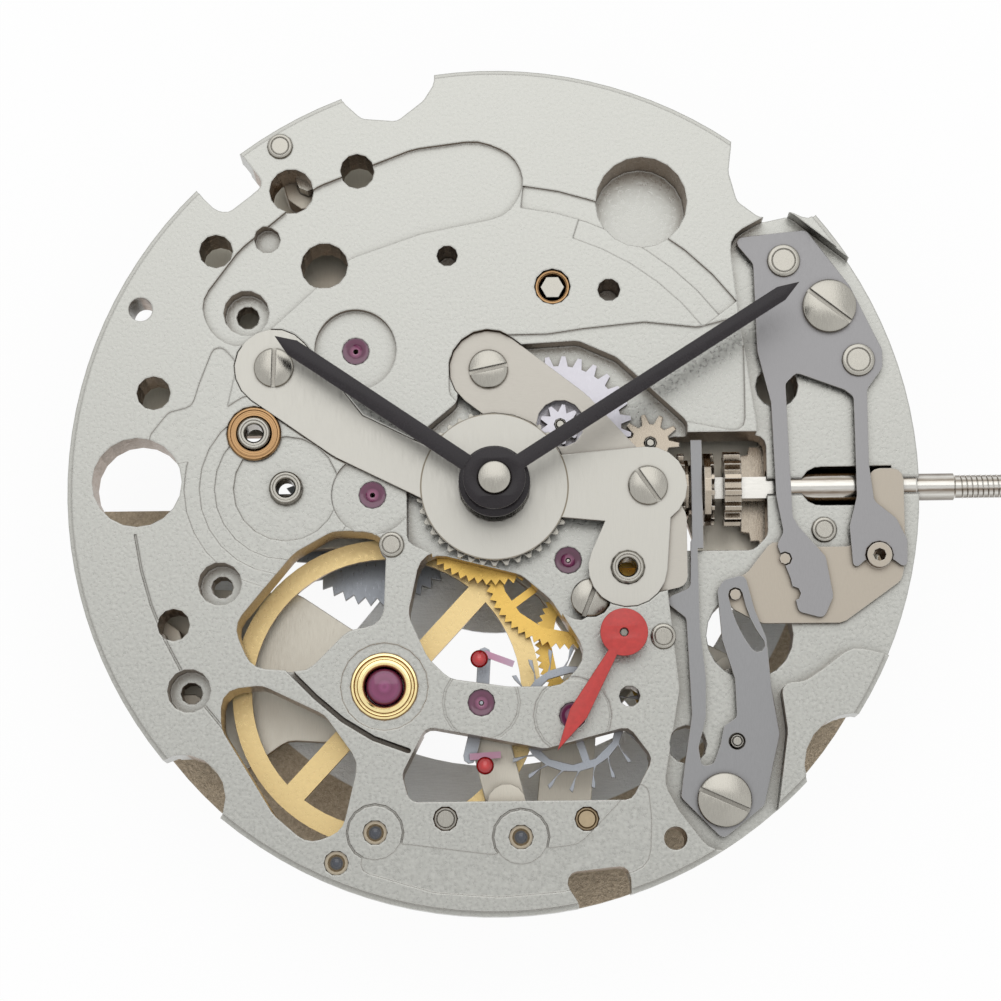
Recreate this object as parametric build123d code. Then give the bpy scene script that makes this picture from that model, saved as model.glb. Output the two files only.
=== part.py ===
from build123d import *
from math import acos, atan2, ceil, cos, degrees, hypot, pi, radians, sin, tan
import os

# An automatic watch movement, seen with its dial side up.
# Millimetres. The dial face is z = 0, +Z points to the hands and +X along the stem.
# The hands' axis is x = y = 0. Places on the plate are shares of the plate's radius.

# Main plate
plate_radius = 13.0
dial_seat_radius = 12.85
dial_seat_height = 0.20
flange_thickness = 1.40
plate_body_radius = 12.60
plate_thickness = 2.00
shallow_depth = 0.12
relief_depth = 0.05
lobe_depth = 0.20
deep_hole_floor = 0.15
motion_recess_depth = 1.00
keyless_recess_depth = 0.78
centre_recess_depth = 0.40
escapement_recess_depth = 0.75
cut_overrun = 0.30
recess_gap = 0.35
corner_radius = 0.35
round_sag = 0.02
hidden_sag = 0.05
least_sides = 6

# Clearances
running_gap = 0.05
fit_gap = 0.02
axial_gap = 0.05

# Bridges on the back
train_space = 1.30
bridge_thickness = 0.55
bridge_radius = 12.10
foot_radius = 0.80

# Going train: teeth and modules
barrel_teeth = 72
centre_pinion_leaves = 12
barrel_module = 0.153
centre_teeth = 64
third_pinion_leaves = 8
centre_module = 0.0864
third_teeth = 60
fourth_pinion_leaves = 8
third_module = 0.0855
fourth_teeth = 72
escape_pinion_leaves = 8
fourth_module = 0.0718
escape_teeth = 20
escape_tip_radius = 2.25
escape_rim_radius = 1.62
escape_rim_width = 0.22
escape_arms = 5
pallet_distance = 2.78
balance_distance = 2.97
wheel_thickness = 0.15
pinion_overrun = 0.05
hub_radius = 0.30
arbor_radius = 0.16
pivot_radius = 0.06
wheel_rim = 0.36
arm_width = 0.24

# Tooth shapes: rises in modules, widths as shares of half a pitch
tooth_rise_share = 0.90
tooth_root_depth_share = 1.15
tooth_tip_share = 0.24
tooth_root_share = 0.66
fine_tip_share = 0.22
pointed_tip_share = 0.0
face_tip_share = 0.30
face_root_share = 0.58

# Directions of the arbors, in degrees from +X
barrel_angle = 73.3
third_angle = -44.2
fourth_angle = -56.4
escape_angle = -122.9
pallet_angle = 171.3
balance_angle = 169.9

# Motion work under the hands
cannon_teeth = 10
minute_wheel_teeth = 27
setting_wheel_teeth = 10
cannon_module = 0.152
minute_pinion_leaves = 9
hour_wheel_teeth = 40
hour_module = 0.1147
minute_wheel_angle = 43.6
setting_wheel_angle = -11.1
cannon_radius = 0.50
cannon_height = 2.05
centre_arbor_radius = 0.30
hour_pipe_radius = 0.78
hour_pipe_height = 1.10
hour_wheel_drop = 0.50
minute_post_radius = 0.18
cover_thickness = 0.16
cover_drop = 0.02
cover_radius = 2.26
minute_bridge_thickness = 0.12

# Hands
hand_thickness = 0.15
hour_hand_length = 8.0
hour_hand_width = 0.52
hour_hand_height = 1.15
hour_boss_radius = 1.08
hour_tube_radius = 0.95
hour_tube_height = 0.15
hour_hand_angle = 145.6
minute_hand_length = 10.95
minute_hand_width = 0.46
minute_hand_height = 1.75
minute_boss_radius = 0.94
minute_hand_angle = 32.3
hand_tip_length = 1.30
seconds_hand_length = 4.10
seconds_hand_root_width = 0.30
seconds_hand_wide_width = 0.58
seconds_hand_height = 0.85
seconds_boss_radius = 0.72
seconds_tube_radius = 0.26
seconds_hand_angle = -120.1

# Balance and escapement
balance_radius = 4.75
balance_rim_width = 0.60
balance_rim_height = 0.30
balance_arm_width = 0.70
balance_arm_angle = 47.0
balance_drop = 0.40
staff_radius = 0.24
roller_radius = 0.62
roller_thickness = 0.14
roller_pin_radius = 0.10
roller_pin_reach = 0.46
hairspring_turns = 4
hairspring_pitch = 0.26
hairspring_width = 0.05
hairspring_height = 0.14
collet_radius = 0.48
stud_radius = 0.22
shock_radius = 1.02
shock_height = 0.45
shock_bore_radius = 0.60
shock_jewel_radius = 0.56
pallet_arm_length = 1.60
pallet_arm_width = 0.20
pallet_arm_spread = 95.0
stone_length = 0.95
stone_width = 0.20
fork_width = 0.16
fork_horn_gap = 0.26
pallet_thickness = 0.16

# Barrel
barrel_wall_radius = 5.20
barrel_height = 0.90
barrel_gear_thickness = 0.36
barrel_wall = 0.22
barrel_arbor_radius = 0.90
barrel_pivot_radius = 0.36
mainspring_turns = 4
mainspring_inner_radius = 1.00
mainspring_width = 0.16

# Winding and keyless work
stem_depth = 1.30
stem_radius = 0.55
stem_outer_radius = 0.42
stem_thread_radius = 0.35
stem_groove_radius = 0.34
stem_groove_width = 0.64
stem_square = 0.66
stem_pilot_radius = 0.30
stem_pilot_start = 2.90
stem_square_start = 5.20
stem_square_end = 8.60
stem_groove_place = 11.75
stem_shoulder_end = 12.95
stem_thread_start = 14.15
stem_end = 22.50
stem_travel = 0.83
clutch_start = 5.62
clutch_length = 1.10
clutch_radius = 1.12
clutch_groove_radius = 0.76
clutch_groove_width = 0.46
clutch_teeth = 14
clutch_tooth_height = 0.20
clutch_travel = 0.28
winding_pinion_start = 7.02
winding_pinion_length = 0.52
winding_pinion_radius = 1.15
winding_pinion_teeth = 14
setting_lever_thickness = 0.15
setting_lever_drop = 0.55
yoke_thickness = 0.16
yoke_drop = 0.36
yoke_finger_width = 0.34
lever_pin_radius = 0.17
lever_sleeve_radius = 0.38
lever_sleeve_bore = 0.20

# Winding wheels on the back
crown_teeth = 28
crown_radius = 1.90
crown_thickness = 0.25
transfer_teeth = 34
intermediate_teeth = 23
ratchet_teeth = 54
winding_thickness = 0.20
winding_gap = 0.05
reducer_pinion_teeth = 34
click_length = 2.30
click_width = 0.55

# Automatic work and rotor
rotor_pinion_teeth = 14
reverser_teeth = 46
reverser_pinion_teeth = 12
reducer_teeth = 60
rotor_radius = 12.90
rotor_weight_width = 4.70
rotor_hub_radius = 4.00
rotor_web_thickness = 0.22
rotor_weight_height = 0.92
bearing_core_radius = 0.80
bearing_ring_radius = 1.60
movement_height = 5.67

# Fastenings
screw_slot_width = 0.14
screw_slot_depth = 0.12
jewel_thickness = 0.22
stud_length = 0.80

# Seats, posts, studs and screws on the dial side
jewel_seat_radius = 0.42
jewel_recess_radius = 1.25
jewel_recess_depth = 0.30
barrel_bush_radius = 0.56
screw_head_radius = 0.60
screw_head_height = 0.30
lever_screw_radius = 0.82
lever_screw_height = 0.22
lever_stud_radius = 0.50
dial_stud_radius = 0.38
yoke_pin_radius = 0.20
post_radius = 0.50
post_bore_radius = 0.27
washer_radius = 0.85
post_recess_radius = 1.61
ring_recess_radius = 3.10
ring_recess_step = 0.46
boss_radius = 1.20
small_pin_radius = 0.38
pin_disc_radius = 0.88
pin_disc_groove = 0.07
shock_step_radius = 1.33
jewel_disc_radius = 1.19
band_inner_radius = 8.68
band_outer_radius = 9.37
land_radius = 8.06
scribed_radius = 10.96
scribed_width = 0.08
slit_width = 0.16
slit_depth = 0.50
stem_bore_gap = 0.03
cover_arm_radius = 0.75
minute_window_radius = 0.73
stud_rise = 0.12
jewel_drop = 0.10
fourth_pivot_radius = 0.13
cover_screw_turns = (88.0, -58.0)
minute_screw_turn = 12.0
plate_screw_turn = 68.0
jumper_screw_turn = -38.0
yoke_screw_turn = -25.0

# Escapement and balance details
stone_rise = 0.12
stone_heading = 12.0
pallet_bridge_thickness = 0.22
pallet_bridge_radius = 0.60
bridge_jewel_radius = 0.34
roller_pin_gap = 0.10
cock_boss_radius = 1.60

# Keyless details
lever_stem_pin_radius = 0.28
lever_swing = 22.0
finger_reach = 0.65
finger_overlap = 0.30
yoke_screw_gap = 0.12
slot_steps = 4
spiral_steps = 18
window_gap = 0.45
window_side_gap = 0.80

# Winding and automatic details
crown_bite = 0.04
crown_tooth_height = 0.16
crown_arbor_radius = 0.50
click_gap = 0.95
click_angle = 30.0
click_nose_radius = 0.16
click_spread = 22.0
click_spring_width = 0.14
click_spring_side = 100.0
click_spring_heading = 150.0
rotor_arm_angles = (-50.0, -130.0)
rotor_arm_width = 0.90
back_screw_radius = 0.75
back_screw_height = 0.25

# Where arcs on the plate start and end, in degrees from +X
band_headings = (37.0, 84.0)
land_headings = (37.0, 72.0)
scribed_headings = (187.0, 222.0)

# Levels, counted down from the dial face
plate_back = -plate_thickness
bridge_front = plate_back - train_space
bridge_back = bridge_front - bridge_thickness
motion_floor = -motion_recess_depth
keyless_floor = -keyless_recess_depth
escapement_roof = plate_back + escapement_recess_depth
centre_roof = plate_back + centre_recess_depth
centre_wheel_level = centre_roof - axial_gap - wheel_thickness
third_wheel_level = plate_back - axial_gap - wheel_thickness
balance_level = plate_back - balance_drop - balance_rim_height
fourth_wheel_level = balance_level - axial_gap - wheel_thickness
escape_wheel_level = escapement_roof - axial_gap - pallet_thickness
barrel_top = third_wheel_level - 2 * axial_gap
barrel_bottom = barrel_top - barrel_height
winding_level = bridge_back - axial_gap - winding_thickness
reducer_level = winding_level - winding_gap - winding_thickness
reverser_level = reducer_level - winding_gap - winding_thickness
rotor_back = -movement_height
rotor_web_level = rotor_back + rotor_weight_height - rotor_web_thickness
rotor_inner_radius = rotor_radius - rotor_weight_width
hour_wheel_level = -hour_wheel_drop
minute_wheel_level = motion_floor + axial_gap
minute_bridge_level = -cover_drop - cover_thickness - fit_gap - minute_bridge_thickness
cover_level = -cover_drop - cover_thickness
pallet_bridge_high = escape_wheel_level - roller_thickness - 2 * axial_gap - roller_pin_gap
pallet_bridge_low = pallet_bridge_high - pallet_bridge_thickness
cock_inner = bridge_front - axial_gap
roller_level = escape_wheel_level - roller_pin_gap - roller_thickness

# The hairspring starts on its collet
hairspring_inner_radius = collet_radius + hairspring_width / 2

# The most of a side that a rounded corner takes
corner_limit_share = 0.45

# Places on the plate, as shares of its radius: x, y
cover_screw_shares = ((-0.515, 0.287), (0.359, -0.002))
minute_bridge_screw_share = (-0.011, 0.280)
bridge_screw_share = (0.222, -0.263)
jumper_screw_share = (0.795, 0.423)
yoke_screw_share = (0.525, -0.737)
jumper_stud_shares = ((0.690, 0.534), (0.861, 0.294))
dial_stud_shares = ((0.774, -0.104), (0.389, -0.357), (-0.242, -0.135), (-0.498, 0.818))
yoke_pivot_share = (0.557, -0.601)
lever_pivot_share = (0.899, -0.169)
lever_pin_share = (0.560, -0.258)
jumper_pin_share = (0.678, -0.175)
cover_post_share = (0.309, -0.194)
washer_post_share = (-0.562, 0.132)
recess_post_share = (-0.488, 0.002)
reverser_share = (-0.286, -0.014)
reducer_share = (-0.323, 0.328)
crown_share = (0.700, 0.0)
raised_pin_shares = ((-0.285, -0.804), (0.052, -0.818))
small_pin_shares = ((-0.375, -0.873), (-0.122, -0.774), (0.205, -0.778))

# Round holes: x, y and radius, all shares of the plate's radius
through_hole_shares = (
    (-0.472, 0.711, 0.052),
    (-0.316, 0.758, 0.040),
    (-0.650, 0.567, 0.040),
    (-0.395, 0.531, 0.056),
    (-0.797, 0.230, 0.040),
    (-0.836, 0.019, 0.105),
    (-0.750, -0.317, 0.038),
    (0.308, -0.495, 0.025),
    (0.443, -0.605, 0.045),
    (0.670, 0.239, 0.050),
    (0.594, -0.351, 0.102),
)
dial_foot_shares = ((-0.828, 0.430, 0.028), (0.409, -0.825, 0.027))
step_hole_shares = (
    (-0.580, 0.421, 0.054),
    (-0.642, -0.222, 0.051),
    (-0.714, -0.471, 0.051),
)
blind_hole_shares = ((-0.530, 0.596, 0.031),)
deep_hole_shares = ((-0.105, 0.550, 0.025), (0.275, 0.464, 0.027), (0.355, 0.675, 0.108))

# Outlines, as shares of the plate's radius
balance_window_shares = (
    (-0.252, -0.100), (-0.380, -0.100), (-0.470, -0.150), (-0.612, -0.320),
    (-0.570, -0.420), (-0.440, -0.430), (-0.345, -0.335), (-0.262, -0.320),
)
lower_window_shares = (
    (-0.640, -0.470), (-0.545, -0.460), (-0.400, -0.530), (-0.322, -0.640),
    (-0.360, -0.800), (-0.440, -0.830), (-0.520, -0.760), (-0.640, -0.560),
)
train_window_shares = (
    (-0.170, -0.140), (-0.205, -0.300), (-0.160, -0.400), (-0.110, -0.450),
    (0.030, -0.470), (0.150, -0.470), (0.215, -0.400), (0.130, -0.260), (0.060, -0.200),
)
escape_window_shares = (
    (-0.222, -0.670), (-0.165, -0.560), (-0.060, -0.580), (0.110, -0.615),
    (0.305, -0.565), (0.360, -0.640), (0.310, -0.735), (-0.205, -0.735),
)
motion_recess_shares = (
    (-0.080, 0.330), (0.200, 0.345), (0.290, 0.305), (0.455, 0.150), (0.440, -0.110),
    (0.240, -0.170), (0.215, -0.330), (0.030, -0.240), (-0.205, -0.130), (-0.205, 0.100),
    (-0.085, 0.200),
)
keyless_recess_shares = (
    (0.560, 0.590), (0.690, 0.660), (0.890, 0.500), (1.010, 0.180), (1.010, -0.400),
    (0.920, -0.407), (0.828, -0.385), (0.763, -0.434), (0.716, -0.466), (0.660, -0.468),
    (0.674, -0.580), (0.645, -0.785), (0.500, -0.870), (0.418, -0.762), (0.385, -0.700),
    (0.424, -0.480), (0.400, -0.240), (0.450, -0.120), (0.620, 0.120), (0.580, 0.400),
)
lobe_recess_shares = (
    (-0.184, 0.809), (-0.029, 0.829), (0.055, 0.793), (0.083, 0.723), (0.040, 0.645),
    (-0.165, 0.604), (-0.338, 0.545), (-0.520, 0.381), (-0.595, 0.331), (-0.660, 0.365),
    (-0.691, 0.444), (-0.595, 0.571), (-0.413, 0.720),
)
left_recess_shares = (
    (-0.650, 0.355), (-0.691, 0.250), (-0.707, 0.198), (-0.763, 0.184), (-0.808, 0.128),
    (-0.800, 0.050), (-0.650, 0.080), (-0.600, 0.300),
)
inner_recess_shares = (
    (0.483, 0.373), (0.357, 0.387), (0.214, 0.373), (0.130, 0.361), (-0.041, 0.359),
    (-0.104, 0.307), (-0.104, 0.203), (0.200, 0.200), (0.590, 0.120), (0.590, 0.400),
)
lower_recess_shares = (
    (-0.212, -0.831), (-0.018, -0.857), (0.186, -0.836), (0.256, -0.765), (0.345, -0.670),
    (0.355, -0.780), (0.350, -0.890), (0.150, -0.945), (0.000, -0.956), (-0.150, -0.944),
    (-0.330, -0.890), (-0.300, -0.830),
)
plate_slit_shares = (
    (-0.485, -0.423), (-0.421, -0.488), (-0.357, -0.543), (-0.287, -0.586), (-0.206, -0.616),
)
jumper_shares = (
    (0.567, 0.590), (0.745, 0.608), (0.845, 0.472), (0.918, 0.318), (0.918, 0.276),
    (0.880, 0.224), (0.880, 0.044), (0.890, -0.041), (0.941, -0.083), (0.966, -0.135),
    (0.964, -0.205), (0.930, -0.178), (0.868, -0.178), (0.838, -0.205), (0.831, -0.100),
    (0.850, -0.029), (0.848, 0.207), (0.827, 0.224), (0.714, 0.266), (0.688, 0.240),
    (0.698, -0.076), (0.712, -0.100), (0.773, -0.171), (0.789, -0.265), (0.766, -0.316),
    (0.707, -0.300), (0.690, -0.222), (0.660, -0.142), (0.676, -0.112), (0.661, -0.029),
    (0.653, 0.195), (0.623, 0.318), (0.618, 0.528),
)
yoke_shares = (
    (0.518, -0.246), (0.534, -0.223), (0.583, -0.211), (0.604, -0.294), (0.630, -0.360),
    (0.640, -0.480), (0.657, -0.586), (0.618, -0.750), (0.520, -0.828), (0.424, -0.730),
    (0.431, -0.675), (0.453, -0.538), (0.444, -0.312), (0.389, -0.268), (0.455, -0.240),
    (0.458, -0.125), (0.474, -0.125), (0.476, -0.336), (0.488, -0.455), (0.486, -0.545),
    (0.467, -0.615), (0.474, -0.660), (0.502, -0.652), (0.518, -0.608), (0.527, -0.565),
    (0.558, -0.545), (0.555, -0.455), (0.527, -0.364),
)
setting_lever_shares = (
    (0.880, 0.038), (0.962, 0.038), (0.962, -0.175), (0.952, -0.227), (0.812, -0.326),
    (0.618, -0.325), (0.545, -0.285), (0.540, -0.232), (0.590, -0.205), (0.649, -0.130),
    (0.714, -0.146), (0.836, -0.146), (0.873, -0.104),
)
minute_bridge_tail_shares = (
    (0.300, 0.060), (0.385, 0.050), (0.449, -0.070), (0.449, -0.237), (0.275, -0.275),
    (0.275, -0.120),
)
yoke_tip_share = (0.466, -0.125)
stem_slot_shares = (0.766, 0.935)
bridge_split_shares = (
    (-1.200, 0.215), (-0.600, 0.165), (-0.200, 0.165), (0.120, 0.165), (0.300, 0.100),
    (0.450, -0.020), (0.520, -0.240), (1.200, -0.300), (1.200, 1.200), (-1.200, 1.200),
)
cock_shares = (
    (-0.900, -0.270), (-0.780, -0.200), (-0.473, -0.220), (-0.340, -0.310), (-0.180, -0.350),
    (-0.140, -0.480), (-0.200, -0.590), (-0.500, -0.570), (-0.600, -0.640), (-0.760, -0.680),
)
barrel_foot_shares = ((-0.438, 0.759), (0.759, 0.438), (-0.690, 0.305), (0.846, 0.246))
train_foot_shares = ((-0.500, -0.050), (0.150, -0.800), (0.555, -0.450))
cock_foot_shares = ((-0.800, -0.350), (-0.730, -0.525))
pallet_bridge_foot_share = (0.020, -0.735)
cover_elbow_share = (-0.345, 0.125)
cover_root_share = (-0.123, 0.015)

# Notches in the rim: round ones by x, y and radius, the others by their outline
rim_notch_shares = ((0.830, -0.660, 0.120), (-0.730, -0.719, 0.100))
top_notch_shares = (
    (-0.132, 1.050), (-0.132, 0.966), (-0.158, 0.925), (-0.221, 0.876), (-0.305, 0.883),
    (-0.350, 0.925), (-0.380, 1.050),
)
left_notch_shares = (
    (-0.780, 0.820), (-0.679, 0.694), (-0.651, 0.666), (-0.621, 0.659), (-0.569, 0.699),
    (-0.535, 0.728), (-0.590, 0.800), (-0.660, 0.860),
)
right_notch_shares = (
    (0.600, 1.050), (0.562, 0.744), (0.581, 0.673), (0.635, 0.632), (0.707, 0.647),
    (0.749, 0.626), (0.900, 0.750),
)
lower_notch_shares = (
    (0.180, -1.050), (0.185, -0.975), (0.155, -0.928), (0.166, -0.900), (0.289, -0.887),
    (0.304, -0.906), (0.310, -1.050),
)
outline_notches = (top_notch_shares, left_notch_shares, right_notch_shares, lower_notch_shares)

# Escape tooth: height share of the tooth and turn share of the pitch
escape_tooth_shares = ((0.0, 0.30), (0.85, -0.16), (1.0, -0.02), (0.80, 0.06), (0.30, 0.16), (0.0, 0.45))


centre = (0.0, 0.0)


def point(share):
    return (share[0] * plate_radius, share[1] * plate_radius)


def polar(start, distance, angle):
    return (start[0] + distance * cos(radians(angle)), start[1] + distance * sin(radians(angle)))


def pitch_distance(teeth, leaves, module):
    return module * (teeth + leaves) / 2


def side_count(radius, sag):
    """How many sides, in twos, keep a round within the sag of the true circle."""
    return max(least_sides, 2 * ceil(pi / acos(1 - min(sag / radius, 1 / 2)) / 2))


def arc_points(place, radius, first, last, sag=round_sag):
    """Points along an arc, as close together as the sag asks, from one heading to another."""
    steps = ceil(side_count(radius, sag) * abs(last - first) / (2 * pi))
    turns = [first + (last - first) * step / steps for step in range(steps + 1)]
    return [(place[0] + radius * cos(turn), place[1] + radius * sin(turn)) for turn in turns]


def disc(place, radius):
    """A true circle, for large forms, mounts and the bearings of what turns."""
    return Pos(place[0], place[1]) * Circle(radius)


def dot(place, radius, sag=round_sag):
    """A small round with straight sides."""
    return Pos(place[0], place[1]) * RegularPolygon(radius, side_count(radius, sag))


def column(place, radius, low, high):
    return extrude(Plane.XY.offset(low) * dot(place, radius), high - low)


def hidden_column(place, radius, low, high):
    return extrude(Plane.XY.offset(low) * dot(place, radius, hidden_sag), high - low)


def cylinder(place, radius, low, high):
    return extrude(Plane.XY.offset(low) * disc(place, radius), high - low)


def tube(place, radius, bore, low, high):
    return extrude(Plane.XY.offset(low) * (dot(place, radius) - dot(place, bore)), high - low)


def slab(sketch, low, high):
    return extrude(Plane.XY.offset(low) * sketch, high - low)


def link(start, start_radius, end, end_radius):
    """Two round ends joined by straight sides."""
    distance = hypot(end[0] - start[0], end[1] - start[1])
    heading = atan2(end[1] - start[1], end[0] - start[0])
    tilt = acos((start_radius - end_radius) / distance)
    corners = arc_points(start, start_radius, heading + tilt, heading + 2 * pi - tilt)
    corners += arc_points(end, end_radius, heading - tilt, heading + tilt)
    return make_face(Polyline(*corners, close=True))


def soft_outline(points, radius):
    """A closed outline whose corners are rounded as far as its sides allow."""
    outline = []
    count = len(points)
    for index in range(count):
        here = points[index]
        before = points[index - 1]
        after = points[(index + 1) % count]
        back = (before[0] - here[0], before[1] - here[1])
        ahead = (after[0] - here[0], after[1] - here[1])
        shorter = min(hypot(*back), hypot(*ahead))
        turn = atan2(ahead[1], ahead[0]) - atan2(-back[1], -back[0])
        turn = (turn + pi) % (2 * pi) - pi
        bend = min(radius, corner_limit_share * shorter / tan(abs(turn) / 2))
        side = 1 if turn > 0 else -1
        first = atan2(-back[1], -back[0]) - side * pi / 2
        reach = bend * tan(abs(turn) / 2) / hypot(*back)
        start = (here[0] + back[0] * reach, here[1] + back[1] * reach)
        middle = (start[0] - bend * cos(first), start[1] - bend * sin(first))
        outline.extend(arc_points(middle, bend, first, first + turn))
    return make_face(Polyline(*outline, close=True))


def share_outline(shares, radius):
    return soft_outline([point(share) for share in shares], radius)


def toothed_face(teeth, root_radius, tip_radius, tip_share, root_share, turn=0.0):
    """A wheel's face with straight-flanked teeth; the shares are parts of a half pitch."""
    corners = []
    half = pi / teeth
    for tooth in range(teeth):
        middle = radians(turn) + 2 * half * tooth
        corners.append((root_radius, middle - root_share * half))
        corners.append((tip_radius, middle - tip_share * half))
        if tip_share > 0:
            corners.append((tip_radius, middle + tip_share * half))
        if root_share < 1:
            corners.append((root_radius, middle + root_share * half))
    return make_face(Polyline(*[(r * cos(a), r * sin(a)) for r, a in corners], close=True))


def gear_face(teeth, module, turn=0.0, tip_share=tooth_tip_share):
    """Full teeth with flat roots, or fine and pointed ones whose flanks meet at the root."""
    pitch_radius = module * teeth / 2
    tip_radius = pitch_radius + tooth_rise_share * module
    root_radius = pitch_radius - tooth_root_depth_share * module
    root_share = tooth_root_share if tip_share == tooth_tip_share else 1
    return toothed_face(teeth, root_radius, tip_radius, tip_share, root_share, turn)


def gear(place, teeth, module, low, high, bore=0.0, turn=0.0, tip_share=tooth_tip_share):
    face = gear_face(teeth, module, turn, tip_share)
    if bore > 0:
        face -= dot(centre, bore)
    return Pos(place[0], place[1], 0) * slab(face, low, high)


def arm_windows(inner, outer, arms, width, turn=0.0):
    """What is cut between the hub and the rim of a wheel to leave its arms."""
    windows = dot(centre, outer, hidden_sag) - dot(centre, inner, hidden_sag)
    for arm in range(arms):
        windows -= Rot(0, 0, turn + 360 * arm / arms) * Pos(outer / 2, 0) * Rectangle(outer, width)
    return windows


def spoked_gear(place, teeth, module, low, arms):
    """A hidden train wheel: pointed teeth, a rim, arms, and a hub seated on its pinion."""
    root = module * teeth / 2 - tooth_root_depth_share * module
    face = gear_face(teeth, module, 0, pointed_tip_share) - disc(centre, hub_radius)
    face -= arm_windows(2 * hub_radius, root - wheel_rim, arms, arm_width)
    return Pos(place[0], place[1], 0) * slab(face, low, low + wheel_thickness)


def pinion(place, leaves, module, leaf_low, leaf_high, low, high, seat_low, turn):
    """Leaves, the seat that carries the wheel, the arbor and its two pivots."""
    body = gear(place, leaves, module, leaf_low, leaf_high, 0, turn, fine_tip_share)
    body += hidden_column(place, hub_radius, seat_low, seat_low + wheel_thickness)
    body += hidden_column(place, arbor_radius, low + jewel_thickness, high - jewel_thickness)
    body += hidden_column(place, pivot_radius, low, high)
    return body


def slotted_screw(place, radius, head_high, head_low, shank_low, turn):
    head = column(place, radius, head_low, head_high)
    slot = Rot(0, 0, turn) * Rectangle(2 * radius + cut_overrun, screw_slot_width)
    slot = Pos(place[0], place[1]) * slot
    head -= slab(slot, head_high - screw_slot_depth, head_high + cut_overrun)
    return head + hidden_column(place, radius / 2, shank_low, head_low)


def jewel(place, radius, low, high):
    return tube(place, radius, pivot_radius + fit_gap, low, high)


def group(*pieces):
    solids = []
    for piece in pieces:
        solids.extend(piece.solids())
    return Compound(solids)


# Centres of the arbors
barrel_place = polar(centre, pitch_distance(barrel_teeth, centre_pinion_leaves, barrel_module), barrel_angle)
third_place = polar(centre, pitch_distance(centre_teeth, third_pinion_leaves, centre_module), third_angle)
fourth_place = polar(third_place, pitch_distance(third_teeth, fourth_pinion_leaves, third_module), fourth_angle)
escape_place = polar(
    fourth_place, pitch_distance(fourth_teeth, escape_pinion_leaves, fourth_module), escape_angle
)
pallet_place = polar(escape_place, pallet_distance, pallet_angle)
balance_place = polar(pallet_place, balance_distance, balance_angle)
minute_place = polar(
    centre, pitch_distance(cannon_teeth, minute_wheel_teeth, cannon_module), minute_wheel_angle
)
setting_place = polar(
    minute_place, pitch_distance(minute_wheel_teeth, setting_wheel_teeth, cannon_module), setting_wheel_angle
)
reverser_place = point(reverser_share)
reducer_place = point(reducer_share)
crown_place = point(crown_share)
lever_pivot = point(lever_pivot_share)
yoke_pivot = point(yoke_pivot_share)
lever_pin = point(lever_pin_share)
jumper_pin = point(jumper_pin_share)


def gap_between(first, second):
    return hypot(second[0] - first[0], second[1] - first[1])


# Wheels on the back that fill the distances between fixed arbors
ratchet_module = 2 * gap_between(reducer_place, barrel_place) / (ratchet_teeth + reducer_pinion_teeth)
ratchet_pitch_radius = ratchet_module * ratchet_teeth / 2
transfer_module = ratchet_module
intermediate_gap_transfer = transfer_module * (transfer_teeth + intermediate_teeth) / 2
intermediate_gap_ratchet = ratchet_module * (ratchet_teeth + intermediate_teeth) / 2
rotor_module = 2 * gap_between(centre, reverser_place) / (rotor_pinion_teeth + reverser_teeth)
reducer_module = 2 * gap_between(reverser_place, reducer_place) / (reverser_pinion_teeth + reducer_teeth)


def meeting_place(first, first_distance, second, second_distance):
    """The arbor that stands at given distances from two others, on the rim side."""
    base = gap_between(first, second)
    along = (base**2 + first_distance**2 - second_distance**2) / (2 * base)
    side = max(first_distance**2 - along**2, 0) ** 0.5
    heading = degrees(atan2(second[1] - first[1], second[0] - first[0]))
    foot = polar(first, along, heading)
    return polar(foot, side, heading + 90)


intermediate_place = meeting_place(
    barrel_place, intermediate_gap_ratchet, crown_place, intermediate_gap_transfer
)


def mesh_turn(driver_place, driver_teeth, driver_turn, place, teeth):
    """The turn that puts a gap of a wheel where the tooth of its driver points at it."""
    heading = degrees(atan2(place[1] - driver_place[1], place[0] - driver_place[0]))
    share = (heading - driver_turn) * driver_teeth / 360 % 1
    return heading + 180 + (share - 1 / 2) * 360 / teeth


# Turns that bring each pair of wheels into mesh
centre_pinion_turn = mesh_turn(barrel_place, barrel_teeth, 0, centre, centre_pinion_leaves)
third_pinion_turn = mesh_turn(centre, centre_teeth, 0, third_place, third_pinion_leaves)
fourth_pinion_turn = mesh_turn(third_place, third_teeth, 0, fourth_place, fourth_pinion_leaves)
escape_pinion_turn = mesh_turn(fourth_place, fourth_teeth, 0, escape_place, escape_pinion_leaves)
minute_wheel_turn = mesh_turn(centre, cannon_teeth, 0, minute_place, minute_wheel_teeth)
hour_wheel_turn = mesh_turn(minute_place, minute_pinion_leaves, 0, centre, hour_wheel_teeth)
setting_wheel_turn = mesh_turn(
    minute_place, minute_wheel_teeth, minute_wheel_turn, setting_place, setting_wheel_teeth
)
intermediate_turn = mesh_turn(crown_place, transfer_teeth, 0, intermediate_place, intermediate_teeth)
ratchet_turn = mesh_turn(
    intermediate_place, intermediate_teeth, intermediate_turn, barrel_place, ratchet_teeth
)
reducer_pinion_turn = mesh_turn(
    barrel_place, ratchet_teeth, ratchet_turn, reducer_place, reducer_pinion_teeth
)
reverser_pinion_turn = mesh_turn(
    reducer_place, reducer_teeth, 0, reverser_place, reverser_pinion_teeth
)
reverser_turn = mesh_turn(centre, rotor_pinion_teeth, 0, reverser_place, reverser_teeth)

# The yoke's swing that carries the clutch along the stem
yoke_swing = -degrees(clutch_travel / -yoke_pivot[1])


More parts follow.
